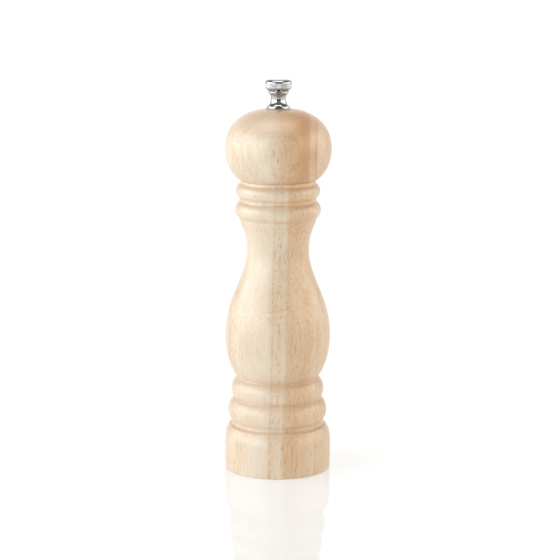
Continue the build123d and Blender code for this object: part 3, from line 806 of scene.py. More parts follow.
    def _stripe_and_side_light(self, t: Tree, grain: Socket) -> Socket:
        """Tone of the board's bands across X, from 0 cream to 1 tan, partly painted side light that is
        paler on the left and darker on the right.
        """
        width = 2 * self.reach_mm
        across = maths(t, "DIVIDE", maths(t, "ADD", part(t, grain, "X"), self.reach_mm), width)
        return ramp(t, across, [((x + self.reach_mm) / width, tone) for x, tone in self.stripes_and_side_light])

    def _tone(self, t: Tree, grain: Socket, stripe_and_side_light: Socket, fibres: Socket, patchy: Socket,
              patches: Socket) -> Socket:
        """Tone of the wood with its growth layers, fibres, streaks and patches.

        Args:
            t: The material's tree.
            grain: Coordinates in the board.
            stripe_and_side_light: Tone of the bands across X, partly painted side light.
            fibres: Fine upright noise.
            patchy: Broad noise.
            patches: Where the fine lines of the layers show.

        Returns:
            The tone, from 0 cream to 1 tan.
        """
        layer_share, fine_share, fibre_share, streak_share, patch_share = self.shares
        # growth layers: rings round the heart, a slow darkening that ends at a line
        flat = vector(t, part(t, grain, "X"), part(t, grain, "Y"))
        radius = add(t, "ShaderNodeVectorMath", {0: flat, 1: (*self.pith, 0.0)},
                     operation="DISTANCE").outputs["Value"]
        wander = noise(t, grain, (9, 9, 60), 1.0, self.shift + 4).outputs["Fac"]
        uneven = maths(t, "MULTIPLY_ADD", wander, 2.4, radius)
        layer = maths(t, "FRACT", maths(t, "DIVIDE", uneven, self.layer_mm))
        layers = ramp(t, layer, [(0.0, 0.0), (0.62, 0.35), (0.86, 1.0), (0.93, 0.15), (1.0, 0.0)])
        fine = maths(t, "FRACT", maths(t, "DIVIDE", uneven, self.fine_layer_mm))
        fines = ramp(t, fine, [(0.0, 0.0), (0.55, 0.1), (0.78, 1.0), (1.0, 0.0)])
        streaks = noise(t, grain, (2.6, 2.6, 80), 1.0, self.shift + 6).outputs["Fac"]
        tone = maths(t, "MULTIPLY_ADD", layers, layer_share, stripe_and_side_light)
        tone = maths(t, "MULTIPLY_ADD", maths(t, "MULTIPLY", fines, patches), fine_share, tone)
        tone = maths(t, "MULTIPLY_ADD", maths(t, "SUBTRACT", fibres, 0.5), fibre_share, tone)
        tone = maths(t, "MULTIPLY_ADD", maths(t, "SUBTRACT", streaks, 0.5), streak_share, tone)
        return maths(t, "MULTIPLY_ADD", maths(t, "SUBTRACT", patchy, 0.5), patch_share, tone, clamp=True)

    def _red_lines(self, t: Tree, across: Socket, fibres: Socket, colour: Socket) -> Socket:
        """Draw the thin reddish lines."""
        for where, strength in self.lines:
            off = maths(t, "ABSOLUTE", maths(t, "SUBTRACT", across, where))
            line = ramp(t, off, [(0.0, 1.0), (0.35, 0.55), (1.0, 0.0)])
            broken = maths(t, "MULTIPLY", line, ramp(t, fibres, [(0.3, 0.35), (0.6, 1.0)]))
            colour = blend_colours(t, maths(t, "MULTIPLY", broken, strength), colour, linear(self.reddish))
        return colour

    def _vessels(self, t: Tree, place: Socket, patches: Socket, width: float, length: float,
                 kept: float, shift: float) -> Socket:
        """Vessels of the wood: one slim upright spindle shape in some cells of a random lattice.

        Args:
            t: The material's tree.
            place: Coordinates in millimetres.
            patches: Where vessels crowd, 0 to 1.
            width: Size of a cell across the grain, in millimetres.
            length: Size of a cell along the grain, in millimetres.
            kept: Share of the cells left empty outside the crowds.
            shift: Moves the pattern.

        Returns:
            How strongly a vessel shows, which is also its depth for a bump.
        """
        scaled = add(t, "ShaderNodeMapping", {
            "Vector": place, "Location": (shift + self.shift, shift, shift),
            "Scale": (1 / width, 1 / width, 1 / length)}).outputs[0]
        cells = add(t, "ShaderNodeTexVoronoi", {"Vector": scaled, "Scale": 1.0, "Randomness": 1.0},
                    feature="F1")
        chance = add(t, "ShaderNodeSeparateColor", {0: cells.outputs["Color"]})
        bar = maths(t, "MULTIPLY_ADD", patches, -0.42, kept + 0.21)
        present = maths(t, "MULTIPLY", maths(t, "SUBTRACT", chance.outputs[0], bar), 3.0, clamp=True)
        core = ramp(t, cells.outputs["Distance"], [(0.0, 1.0), (0.18, 0.9), (0.36, 0.0)])
        return maths(t, "MULTIPLY", core, present)


@dataclass(frozen=True)
class PlainMetal:
    """A metal surface with the marks of how it was made.

    Attributes:
        name: What the metal and its finish are.
        colour: Its reflection colour.
        marks_mm: Size of the marks along X, Y and Z.
        rough: Least and greatest roughness.
        bump_mm: Depth of the marks.
        tint: Colour of the stains or tarnish.
        tint_share: How much of it shows.
    """

    name: str
    colour: str
    marks_mm: tuple[float, float, float]
    rough: tuple[float, float]
    bump_mm: float
    tint: str
    tint_share: float

    def make(self) -> bpy.types.Material:
        """Build the material."""
        material, t, shader, mm = blank(self.name)
        marks = noise(t, mm, self.marks_mm, 3.0, 5.0).outputs["Fac"]
        cloud = noise(t, mm, (3.5, 3.5, 3.5), 3.0, 11.0).outputs["Fac"]
        stain = ramp(t, cloud, [(0.38, 0.0), (0.68, 1.0)])
        share = maths(t, "MULTIPLY", stain, self.tint_share)
        colour = blend_colours(t, share, linear(self.colour), linear(self.tint))
        t.links.new(colour, shader.inputs["Base Color"])
        low, high = self.rough
        t.links.new(maths(t, "MULTIPLY_ADD", marks, high - low, low), shader.inputs["Roughness"])
        bumped(t, shader, marks, 0.5, self.bump_mm)
        shader.inputs["Metallic"].default_value = 1.0
        return material


@dataclass(frozen=True)
class Nylon:
    """Natural nylon, moulded: milky white, a little waxy, with a fine spark-eroded grain."""

    name: str = "natural_nylon_moulded"
    colour: str = "ebe7da"
    shade: str = "ddd6c2"

    def make(self) -> bpy.types.Material:
        """Build the material."""
        material, t, shader, mm = blank(self.name)
        cloud = noise(t, mm, (4, 4, 4), 2.0, 1.0).outputs["Fac"]
        grain = noise(t, mm, (0.12, 0.12, 0.12), 1.0, 3.0).outputs["Fac"]
        colour = blend_colours(t, cloud, linear(self.colour), linear(self.shade))
        t.links.new(colour, shader.inputs["Base Color"])
        t.links.new(maths(t, "MULTIPLY_ADD", grain, 0.12, 0.40), shader.inputs["Roughness"])
        bumped(t, shader, grain, 0.3, 0.01)
        shader.inputs["Subsurface Weight"].default_value = 0.15
        shader.inputs["Subsurface Radius"].default_value = (0.001, 0.0008, 0.0006)
        return material


class Metal(Enum):
    """The metals of the mill, each with the record's slot that it stands for."""

    CHROME = "knob_chrome"
    ALUMINIUM = "drawn_aluminium"
    BURR_STEEL = "burr_steel"
    ZINC = "zinc_plated_steel"
    WASHER = "washer_steel"
    SPRING = "spring_steel"
    SCREW = "screw_steel"


METAL_FINISHES = {
    # bright decorative chrome over polished zinc casting: near-mirror, hairline polishing marks
    Metal.CHROME: PlainMetal(
        "bright_chrome_plate", "b9b9bb", (2.0, 2.0, 0.25), (0.05, 0.10), 0.0012, "adabaa", 0.25),
    # drawn aluminium bar: soft grey with die lines along its length
    Metal.ALUMINIUM: PlainMetal(
        "drawn_aluminium_bar", "d3d5d7", (0.18, 0.18, 14.0), (0.28, 0.46), 0.01, "b9bbbe", 0.5),
    # case-hardened burr steel: dark grey, turned and milled, slightly oily
    Metal.BURR_STEEL: PlainMetal(
        "hardened_burr_steel", "6d6c6b", (0.5, 0.5, 0.12), (0.30, 0.52), 0.012, "4c4a49", 0.7),
    # bright zinc plate on pressed steel: bluish silver, faint yellow passivation clouds
    Metal.ZINC: PlainMetal(
        "bright_zinc_plate", "c9ccd0", (0.9, 0.9, 0.9), (0.22, 0.42), 0.006, "c8c2ac", 0.55),
    # plain punched steel washers: mid grey, tumbled smooth, a touch of brown
    Metal.WASHER: PlainMetal(
        "plain_washer_steel", "b3b4b6", (0.3, 0.3, 0.3), (0.30, 0.50), 0.006, "98938c", 0.5),
    # bright drawn spring wire: smooth, darker grey
    Metal.SPRING: PlainMetal(
        "bright_spring_wire", "a5a8ac", (0.2, 0.2, 0.9), (0.20, 0.38), 0.004, "8b8885", 0.5),
    # zinc-plated wood screws: warm silver with patches of yellow passivation
    Metal.SCREW: PlainMetal(
        "zinc_plated_screw_steel", "c6c6c2", (0.3, 0.3, 0.3), (0.25, 0.45), 0.005, "b9ad8a", 0.6),
}

# the body's board: cream on the left, a faint band in the middle, tan on the right; the paler left and
# darker right are partly painted side light
BODY_WOOD = LacqueredWood(
    "lacquered_rubberwood_body",
    stripes_and_side_light=((-31, 0.10), (-26.4, 0.10), (-26.0, 0.24), (-20, 0.14), (-12, 0.05), (-6, 0.03), (-4.8, 0.07),
             (-3.2, 0.18), (1.0, 0.17), (2.2, 0.08), (3.2, 0.14), (4.6, 0.50), (10, 0.62), (15, 0.66),
             (20.6, 0.42), (21.2, 0.58), (31, 0.70)),
    lines=((-3.4, 0.25), (21.0, 0.22), (-26.2, 0.2)), pith=(6.0, 150.0), shift=2.0)
# the head's board: a stronger tan on the right, ruled with reddish lines; its paler left and darker right
# are partly painted side light
HEAD_WOOD = LacqueredWood(
    "lacquered_rubberwood_head",
    stripes_and_side_light=((-31, 0.12), (-22, 0.14), (-12, 0.06), (-6, 0.05), (-2, 0.20), (2, 0.54), (9, 0.76),
             (11.5, 0.95), (15.0, 1.0), (16.6, 0.58), (19.2, 0.62), (20.1, 0.88), (20.8, 0.56), (31, 0.74)),
    lines=((16.1, 0.75), (14.6, 0.40), (13.0, 0.6), (20.1, 0.5), (-24.0, 0.2)), pith=(7.0, 170.0),
    shift=31.0, lean=0.0, cream="eddec6", tan="cf9d66")


@dataclass
class Workshop:
    """What every sub-assembly uses: the trees and the made materials.

    Attributes:
        lathe: Turns outlines.
        fixings: Cuts and sets screws.
        coil: Winds springs.
        metals: The material of each metal.
        nylon: The material of the nylon pieces.
    """

    lathe: Lathe = field(default_factory=Lathe)
    fixings: Fixings = field(default_factory=Fixings)
    coil: Coil = field(default_factory=Coil)
    metals: dict[Metal, bpy.types.Material] = field(default_factory=dict)
    nylon: bpy.types.Material | None = None

    def __post_init__(self) -> None:
        """Make the materials once."""
        self.metals = {metal: finish.make() for metal, finish in METAL_FINISHES.items()}
        self.nylon = Nylon().make()

    def screws(self, name: str, metal: Metal, count: int, at: float, seat: float, shank: float,
               length: float, head: float, head_height: float) -> bpy.types.Object:
        """Pan-head wood screws in a ring, pointing up.

        Args:
            name: The new object's name.
            metal: What they are made of.
            count: How many there are.
            at: Radius of the ring, in millimetres.
            seat: Height of the face that the heads bear on.
            shank: Radius over the thread.
            length: Length under the head.
            head: Radius of the head.
            head_height: Height of the head.

        Returns:
            One mesh that holds them all.
        """
        core = shank * 0.72
        grip = length * 0.22
        line = Outline(fine=0.16)
        line.jump(0, seat - head_height).to(head * 0.5, seat - head_height)
        line.curve((head * 0.85, seat - head_height * 0.98), (head, seat - head_height * 0.65),
                   (head, seat - 0.15))
        line.jump(head - 0.12, seat).jump(core + 0.15, seat).jump(core, seat + 0.15).to(core, seat + grip)
        line.cut(a=0.0).to(shank, seat + grip + 0.7).cut(a=1.0).to(shank, seat + length - 1.7 * shank)
        line.cut(a=0.7).to(shank * 0.45, seat + length - 0.7 * shank).cut().to(0, seat + length)
        thread = Grooves(count=1, depth=shank - core, lean=1 / (shank * 0.9), land=0.12)
        one = self.lathe.turn(name + "_one", line, self.metals[metal], 40, a=thread, smooth_deg=50)
        mesh = one.data
        bpy.data.objects.remove(one)
        return grown(name, mesh, self.fixings.tree, {
            "Count": count, "Ring Radius": at * MM, "Cross Length": head * 1.1 * MM,
            "Cross Width": head * 0.25 * MM, "Cross Depth": head_height * 0.5 * MM,
            "Head Face": (seat - head_height) * MM, "Finish": self.metals[metal]})

    def ring(self, name: str, node: str, inner: float, ease: float, finish: bpy.types.Material,
             segments: int) -> bpy.types.Object:
        """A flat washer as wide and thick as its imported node."""
        low, high, radius = span(node)
        line = Outline(fine=0.3).rounded([(inner, low), (radius, low), (radius, high), (inner, high)], ease)
        return self.lathe.turn(name, line, finish, segments)


# ---------------------------------------------------------------- sub-assemblies
@dataclass
class Body:
    """The turned wooden body.

    Lengths are millimetres. A pair gives how far a point lies inside the blank's radius, and its
    height above the foot, or from the waist up its distance below the rim.

    Attributes:
        foot_cut: How far the foot is drawn in at the floor.
        foot_taper: Height at which it has reached the blank's radius.
        wall: Top of the upright wall.
        shoulder: End of the round shoulder above it.
        collar_cut: How far the narrow collar lies inside.
        collar: Its lower and upper edge.
        ring_a: Middle of the lowest ring.
        vee_a: The cut above it.
        ring_b: Middle of the second ring.
        vee_b: The cut above it.
        lean: Where the belly's lower side heads for.
        belly: The widest point.
        belly_round: How far below it the lower side turns upright.
        waist: The narrowest point.
        pulls: How far the side between belly and waist, and then between waist and lip, stays
            upright at each end, as a share of its height.
        lip: The edge under the rings.
        ring_c: Middle of the third ring.
        groove: The flat groove: depth, and its lower and upper edge below the rim.
        ring_d: Middle of the top ring.
        rim: The edge above it.
        chamber: Radius of the pepper chamber.
        pocket: Radius and depth of the seat for the head's tenon.
        recess: Radius and depth of the recess in the foot.
        bore: Radius and depth of the bore for the housing.
    """

    foot_cut: float = 0.25
    foot_taper: float = 8.0
    wall: float = 16.5
    shoulder: tuple[float, float] = (2.6, 24.2)
    collar_cut: float = 4.15
    collar: tuple[float, float] = (24.9, 26.9)
    ring_a: tuple[float, float] = (2.15, 32.8)
    vee_a: tuple[float, float] = (5.4, 39.4)
    ring_b: tuple[float, float] = (3.84, 44.8)
    vee_b: tuple[float, float] = (7.1, 51.0)
    lean: tuple[float, float] = (3.43, 55.4)
    belly: tuple[float, float] = (0.52, 74.7)
    belly_round: float = 11.2
    waist: tuple[float, float] = (12.22, 38.2)
    pulls: tuple[float, float, float, float] = (0.436, 0.321, 0.619, 0.217)
    lip: tuple[float, float] = (8.2, 20.4)
    ring_c: tuple[float, float] = (5.94, 15.8)
    groove: tuple[float, float, float] = (8.45, 11.45, 9.7)
    ring_d: tuple[float, float] = (6.4, 5.4)
    rim: tuple[float, float] = (8.63, 1.8)
    chamber: float = 12.5
    pocket: tuple[float, float] = (14.0, 17.05)
    recess: tuple[float, float] = (23.5, 11.0)
    bore: tuple[float, float] = (17.0, 36.3)

    def outline(self) -> Outline:
        """Closed section of the body, from the chamber wall round by the foot and the rim."""
        _, top, blank_r = span("mill_body")

        def low(point: tuple[float, float]) -> tuple[float, float]:
            """A point given from the foot."""
            return blank_r - point[0], point[1]

        def high(point: tuple[float, float]) -> tuple[float, float]:
            """A point given down from the rim."""
            return blank_r - point[0], top - point[1]

        foot_r, collar_r = blank_r - self.foot_cut, blank_r - self.collar_cut
        shoulder, belly, waist, lip = low(self.shoulder), low(self.belly), high(self.waist), high(self.lip)
        pocket_r, pocket_z = self.pocket[0], top - self.pocket[1]
        recess_r, recess_z = self.recess
        bore_r, bore_z = self.bore
        middle = (bore_z + pocket_z) / 2
        line = Outline(fine=1.2).jump(self.chamber, middle)
        line.to(self.chamber, bore_z).to(bore_r, bore_z).to(bore_r, recess_z).to(recess_r, recess_z)
        line.to(recess_r, 0.5).to(recess_r + 0.5, 0)
        line.fine = 0.45
        line.corner(foot_r - 0.2, 0, 0.55, foot_r, 0.9).to(foot_r + 0.02, 1.1).to(blank_r, self.foot_taper)
        line.to(blank_r, self.wall)
        drop, rise = blank_r - shoulder[0], shoulder[1] - self.wall
        round_r = (drop * drop + rise * rise) / (2 * drop)
        half = math.asin(rise / round_r) / 2
        halfway = (blank_r - round_r * (1 - math.cos(half)), self.wall + round_r * math.sin(half))
        line.arc(halfway, shoulder)
        line.fine = 0.25
        # the numbers given to the creases are the painted shade in each cut and under its overhang
        line.to(collar_r, self.collar[0]).crease(0.22).to(collar_r, self.collar[1]).crease(0.2)
        line.arc(low(self.ring_a), low(self.vee_a)).crease(0.45)
        line.arc(low(self.ring_b), low(self.vee_b)).crease(0.45)
        line.fine = 0.5
        line.curve(low(self.lean), (belly[0], belly[1] - self.belly_round), belly)
        low_span, high_span = waist[1] - belly[1], lip[1] - waist[1]
        belly_up, waist_down, waist_up, lip_down = self.pulls
        line.curve((belly[0], belly[1] + belly_up * low_span), (waist[0], waist[1] - waist_down * low_span),
                   waist)
        line.curve((waist[0], waist[1] + waist_up * high_span), (lip[0], lip[1] - lip_down * high_span),
                   lip)
        line.crease(0.4)
        line.fine = 0.25
        depth, groove_low, groove_top = self.groove
        line.arc(high(self.ring_c), high((depth, groove_low))).crease(0.45)
        line.to(*high((depth, groove_top))).crease(0.2)
        rim_r, rim_z = high(self.rim)
        line.arc(high(self.ring_d), (rim_r, rim_z)).crease(0.45).to(rim_r, top - 0.3)
        line.corner(rim_r, top, 0.15, pocket_r, top)
        line.fine = 1.2
        line.to(pocket_r + 0.5, top).to(pocket_r, top - 0.5).to(pocket_r, pocket_z)
        # round the creases and paint their shade
        return line.to(self.chamber, pocket_z).to(self.chamber, middle).round_and_shade()

    def build(self, shop: Workshop) -> None:
        """Turn the body."""
        body = shop.lathe.turn("turned_body", self.outline(), BODY_WOOD.make(), 152)
        placed(body, "mill", "body_wood", "mill_body")


@dataclass
class Head:
    """The round head with its tenon, drive plate and screws. Lengths are millimetres.

    Attributes:
        skirt_cut: How far the skirt's edge lies inside the blank's radius.
        widest: How far the widest point lies inside it, and its height over the seam.
        skirt_pull: Where the lower side heads for, out and up from the skirt's edge.
        round_pull: How far the sides stay upright below and above the widest point.
        crown_pull: Where the crown comes from, out and down from the flat's edge.
        flat_r: Radius of the flat that the knob stands on.
        tenon: Radius and length of the tenon.
        washer_pocket: Radius and depth of the pocket for the nylon washer.
        bore: Radius of the hole for the spindle.
        screw_r: Radius over the thread of the plate's screws.
    """

    skirt_cut: float = 8.63
    widest: tuple[float, float] = (0.36, 17.0)
    skirt_pull: tuple[float, float] = (1.5, 0.5)
    round_pull: tuple[float, float] = (11.1, 10.5)
    crown_pull: tuple[float, float] = (15.6, 1.35)
    flat_r: float = 6.5
    tenon: tuple[float, float] = (13.9, 13.1)
    washer_pocket: tuple[float, float] = (5.72, 0.5)
    bore: float = 4.603
    screw_r: float = 1.1

    def outline(self) -> Outline:
        """Closed section of the head, from its bore round by the tenon and the crown."""
        low, top, reach = span("mill_head")
        blank_r = reach + self.widest[0]
        seam = low + self.tenon[1]
        skirt = blank_r - self.skirt_cut
        tenon_r = self.tenon[0]
        widest_z = seam + self.widest[1]
        crown_out, crown_down = self.crown_pull
        pocket_r, pocket_drop = self.washer_pocket
        line = Outline(fine=1.2).jump(self.bore, (low + top) / 2).to(self.bore, low)
        line.to(tenon_r - 0.6, low).to(tenon_r, low + 0.6).to(tenon_r, seam).to(skirt - 0.3, seam)
        line.fine = 0.4
        line.jump(skirt, seam + 0.02)
        line.curve((skirt + self.skirt_pull[0], seam + self.skirt_pull[1]),
                   (reach, widest_z - self.round_pull[0]), (reach, widest_z))
        # the crease at the flat's edge, and the flat out to the washer pocket, get painted shade round the
        # knob's foot
        line.curve((reach, widest_z + self.round_pull[1]), (self.flat_r + crown_out, top - crown_down),
                   (self.flat_r, top)).crease(1.0)
        line.fine = 0.3
        line.cut(crease_shade=0.9).to(pocket_r, top)
        line.cut().to(pocket_r, top - pocket_drop).to(self.bore, top - pocket_drop)
        line.fine = 1.2
        # round the creases and paint their shade, reaching further below than above
        return line.to(self.bore, (low + top) / 2).round_and_shade(0.9, 0.4)

    def build(self, shop: Workshop) -> None:
        """Turn the head, and fit its plate and screws."""
        head = shop.lathe.turn("turned_head", self.outline(), HEAD_WOOD.make(), 256)
        placed(head, "head", "head_wood", "mill_head")
        plate = eased("drive_plate", "square_hole_plate", shop.metals[Metal.ZINC], 0.12)
        placed(plate, "head", Metal.ZINC.value, "drive_plate")
        nodes = [f"drive_plate_screw_{k}" for k in (1, 2, 3)]
        low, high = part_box(nodes[0])
        seat = span("drive_plate")[0]
        screws = shop.screws("plate_screws", Metal.SCREW, len(nodes), (low.x + high.x) / 2 / MM, seat,
                             self.screw_r, high.z / MM - seat, (high.x - low.x) / 2 / MM, seat - low.z / MM)
        placed(screws, "head", Metal.SCREW.value, *nodes)


@dataclass
class Knob:
    """The chromed adjusting knob and the nylon washer under it. Lengths are millimetres.

    Attributes:
        bore: Radius and depth of the threaded hole.
        flange: Radius and thickness of the flange.
        flare: Radius at which the neck starts on it.
        neck: Radius and height of the neck's narrowest point.
        throat: Radius and height at which the neck ends.
        collar: Radius, lower and upper edge of the collar.
        band: Lower and upper edge of the band.
        crown: Radius of the crown's flat, and a point of the bevel outside it.
        knurls: One of the two crossing sets of grooves.
        washer_hole: Radius of the washer's hole.
    """

    bore: tuple[float, float] = (2.55, 11.5)
    flange: tuple[float, float] = (6.25, 1.4)
    flare: float = 5.6
    neck: tuple[float, float] = (3.98, 4.9)
    throat: tuple[float, float] = (5.0, 7.9)
    collar: tuple[float, float, float] = (5.55, 8.4, 9.3)
    band: tuple[float, float] = (10.95, 13.85)
    crown: tuple[float, float, float] = (5.2, 1.55, 1.0)
    knurls: Grooves = Grooves(count=48, depth=0.16, lean=0.0142, land=0.36)
    washer_hole: float = 2.8

    def outline(self) -> Outline:
        """Section of the knob from the top of its blind bore to the middle of its crown."""
        z, top, band_r = span("adjusting_knob")
        bore_r, bore_h = self.bore
        flange_r, flange_h = self.flange
        collar_r, collar_low, collar_top = self.collar
        crown_r, crown_out, crown_up = self.crown
        band_low, band_top = z + self.band[0], z + self.band[1]
        line = Outline(fine=0.3).jump(0, z + bore_h).to(bore_r, z + bore_h)
        line.to(bore_r, z + 0.35).to(bore_r + 0.35, z)
        line.fine = 0.16
        line.corner(flange_r, z, 0.25, flange_r, z + flange_h)
        line.corner(flange_r, z + flange_h, 0.3, self.flare, z + flange_h).to(self.flare, z + flange_h)
        line.arc((self.neck[0], z + self.neck[1]), (self.throat[0], z + self.throat[1]))
        line.corner(collar_r, z + collar_low, 0.18, collar_r, z + collar_top)
        line.corner(collar_r, z + collar_top, 0.2, band_r, band_low)
        line.corner(band_r, band_low, 0.25, band_r, band_top)
        line.cut(a=1, b=1).fine = 0.07
        line.to(band_r, band_top - 0.2)
        line.cut().fine = 0.14
        line.to(band_r, band_top)
        line.arc((crown_r + crown_out, band_top + crown_up), (crown_r + 0.12, top - 0.06))
        line.jump(crown_r, top).fine = 0.6
        return line.to(0, top)

    def build(self, shop: Workshop) -> None:
        """Turn the knob and its washer."""
        crossing = replace(self.knurls, lean=-self.knurls.lean)
        knob = shop.lathe.turn("knurled_knob", self.outline(), shop.metals[Metal.CHROME], 384,
                               self.knurls, crossing, 26)
        placed(knob, "knob", Metal.CHROME.value, "adjusting_knob")
        washer = shop.ring("knob_seat_washer", "knob_washer", self.washer_hole, 0.18, shop.nylon, 96)
        placed(washer, "knob_seat", "nylon", "knob_washer")


FLUTE_STEPS = 14           # points along a burr's flutes, between which their depth changes


@dataclass
class Drive:
    """What turns with the head: spindle, rotor, washers, clip, bush and spring.

    Attributes:
        half_square: Half the width of the spindle's square.
        foot_r: Radius of its round foot.
        groove_r: Radius in the clip's groove.
        thread: The thread at its top.
        thread_below_top: How far below the top the square ends.
        slide_gap: Play round the square.
        rotor_foot: Greatest radius of the rotor.
        band_height: Height of its band of fine teeth.
        throat_r: Radius at the top of that band.
        fine_teeth: The band's teeth.
        flutes: The breaker flutes above it.
        spring_turns: Turns of the spring.
        wire: Its thickness.
    """

    half_square: float = 3.0
    foot_r: float = 2.5
    groove_r: float = 1.9
    thread: Grooves = Grooves(count=1, depth=0.45, lean=1.25, land=0.1)
    thread_below_top: float = 14.55
    slide_gap: float = 0.08
    rotor_foot: float = 11.4
    band_height: float = 4.0
    throat_r: float = 9.94
    fine_teeth: Grooves = Grooves(count=36, depth=0.6, lean=0.004, skew=0.28, land=0.12)
    flutes: Grooves = Grooves(count=6, depth=1.35, lean=-0.0076, skew=0.35, land=0.35)
    spring_turns: float = 5.5
    wire: float = 1.0

    def _spindle(self, shop: Workshop) -> bpy.types.Object:
        """Square rod with a grooved round foot and a threaded end."""
        low, top, _ = span("spindle")
        clip_low, clip_high, _ = span("retaining_clip")
        rotor = span("inner_burr")[0]
        thread_z = top - self.thread_below_top
        half, foot = self.half_square, self.foot_r
        line = Outline(fine=0.4).jump(0, low).to(foot - 0.4, low).to(foot, low + 0.4).to(foot, clip_low)
        line.to(self.groove_r, clip_low).to(self.groove_r, clip_high).to(foot, clip_high).to(foot, rotor)
        line.cut(square=1).jump(half - 0.15, rotor).jump(half, rotor + 0.15)
        line.fine = 4.0
        line.to(half, thread_z - 0.5).jump(half - 0.4, thread_z).cut().jump(foot, thread_z)
        line.fine = 0.09
        line.to(foot, thread_z + 0.3).cut(a=1).to(foot, top - 0.6).cut(a=0.3).to(foot - 0.45, top)
        line.fine = 0.6
        line.cut().to(0, top)
        return shop.lathe.turn("drive_spindle", line, shop.metals[Metal.ALUMINIUM], 96, a=self.thread,
                               smooth_deg=24)

    def _rotor(self, shop: Workshop) -> bpy.types.Object:
        """Conical rotor with breaker flutes above a band of fine saw-shaped teeth."""
        low, top, _ = span("inner_burr")
        radius = self.rotor_foot
        hole = self.half_square + self.slide_gap
        throat = low + self.band_height
        line = Outline(fine=0.5).cut(square=1).jump(hole, (low + top) / 2).to(hole, low + 0.2)
        line.cut().jump(hole + 1.6, low).to(radius - 0.4, low)
        line.cut(a=0.6).to(radius, low + 0.4).cut(a=1)
        line.fine = 0.3
        line.to(self.throat_r, throat)
        rim = span("spring_washer")[2] + 0.07
        for k in range(1, FLUTE_STEPS + 1):
            share = k / FLUTE_STEPS
            line.cut(a=max(0.0, 1 - share * 5), b=min(1.0, 0.12 + share))
            line.jump(self.throat_r + (rim - self.throat_r) * share, throat + (top - throat) * share)
        line.cut(b=0.5).jump(rim - 0.7, top).cut().jump(rim - 1.25, top).jump(hole + 1.5, top)
        line.cut(square=1).jump(hole, top - 0.2).fine = 0.5
        line.to(hole, (low + top) / 2)
        return shop.lathe.turn("conical_rotor", line, shop.metals[Metal.BURR_STEEL], 288,
                               self.fine_teeth, self.flutes, 30)

    def build(self, shop: Workshop) -> None:
        """Make the pieces and let them ride."""
        placed(self._spindle(shop), "drive_rod", Metal.ALUMINIUM.value, "spindle")
        placed(self._rotor(shop), "drive_rod", Metal.BURR_STEEL.value, "inner_burr")
        steel = shop.metals[Metal.WASHER]
        thrust = shop.ring("thrust_washer", "rotor_washer", self.foot_r + 0.05, 0.12, steel, 80)
        placed(thrust, "drive_rod", Metal.WASHER.value, "rotor_washer")
        clip = eased("retaining_clip", "open_clip", shop.metals[Metal.SPRING], 0.1)
        placed(clip, "drive_rod", Metal.SPRING.value, "retaining_clip")
        over_corners = self.half_square * math.sqrt(2) + 0.26
        seat = shop.ring("spring_seat_washer", "spring_washer", over_corners, 0.1, steel, 96)
        placed(seat, "drive_bush", Metal.WASHER.value, "spring_washer")
        placed(self._bush(shop), "drive_bush", "nylon", "spindle_bush")
        self._spring(shop)

    def _bush(self, shop: Workshop) -> bpy.types.Object:
        """Flanged bush with a square hole and a snap lip."""
        low, top, flange_r = span("spindle_bush")
        bridge_low, bridge_high, _ = span("bearing_bridge")
        under, over = bridge_low - 0.05, bridge_high + 0.05
        hole = self.half_square + self.slide_gap
        barrel = hole * math.sqrt(2) + 0.83
        line = Outline(fine=0.3).cut(square=1).jump(hole, (low + top) / 2).to(hole, low + 0.15)
        line.cut().jump(hole + 1.5, low).corner(flange_r, low, 0.2, flange_r, under)
        line.corner(flange_r, under, 0.12, barrel, under).to(barrel, under)
        line.to(barrel, over).corner(barrel + 0.45, over, 0.1, barrel - 0.2, top)
        line.to(barrel - 0.2, top).to(hole + 1.5, top)
        line.cut(square=1).jump(hole, top - 0.15).to(hole, (low + top) / 2)
        return shop.lathe.turn("bridge_bush", line, shop.nylon, 96)

    def _spring(self, shop: Workshop) -> None:
        """Wind the spring and let it close up between the rotor and its seat."""
        low, high = span("inner_burr")[1], span("spring_washer")[0]
        radius = span("adjusting_spring")[2] - self.wire / 2
        seed = bpy.data.meshes.new("spring_seed")
        seed.from_pydata([(0, 0, 0)], [], [])
        spring = grown("coil_spring", seed, shop.coil.tree, {
            "Turns": self.spring_turns, "Mean Radius": radius * MM, "Wire Radius": self.wire / 2 * MM,
            "Low": low * MM, "High": high * MM, "Finish": shop.metals[Metal.SPRING]})
        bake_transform(spring)
        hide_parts("adjusting_spring")
        LOG.info("%s closes up between rotor and bush", spring.name)


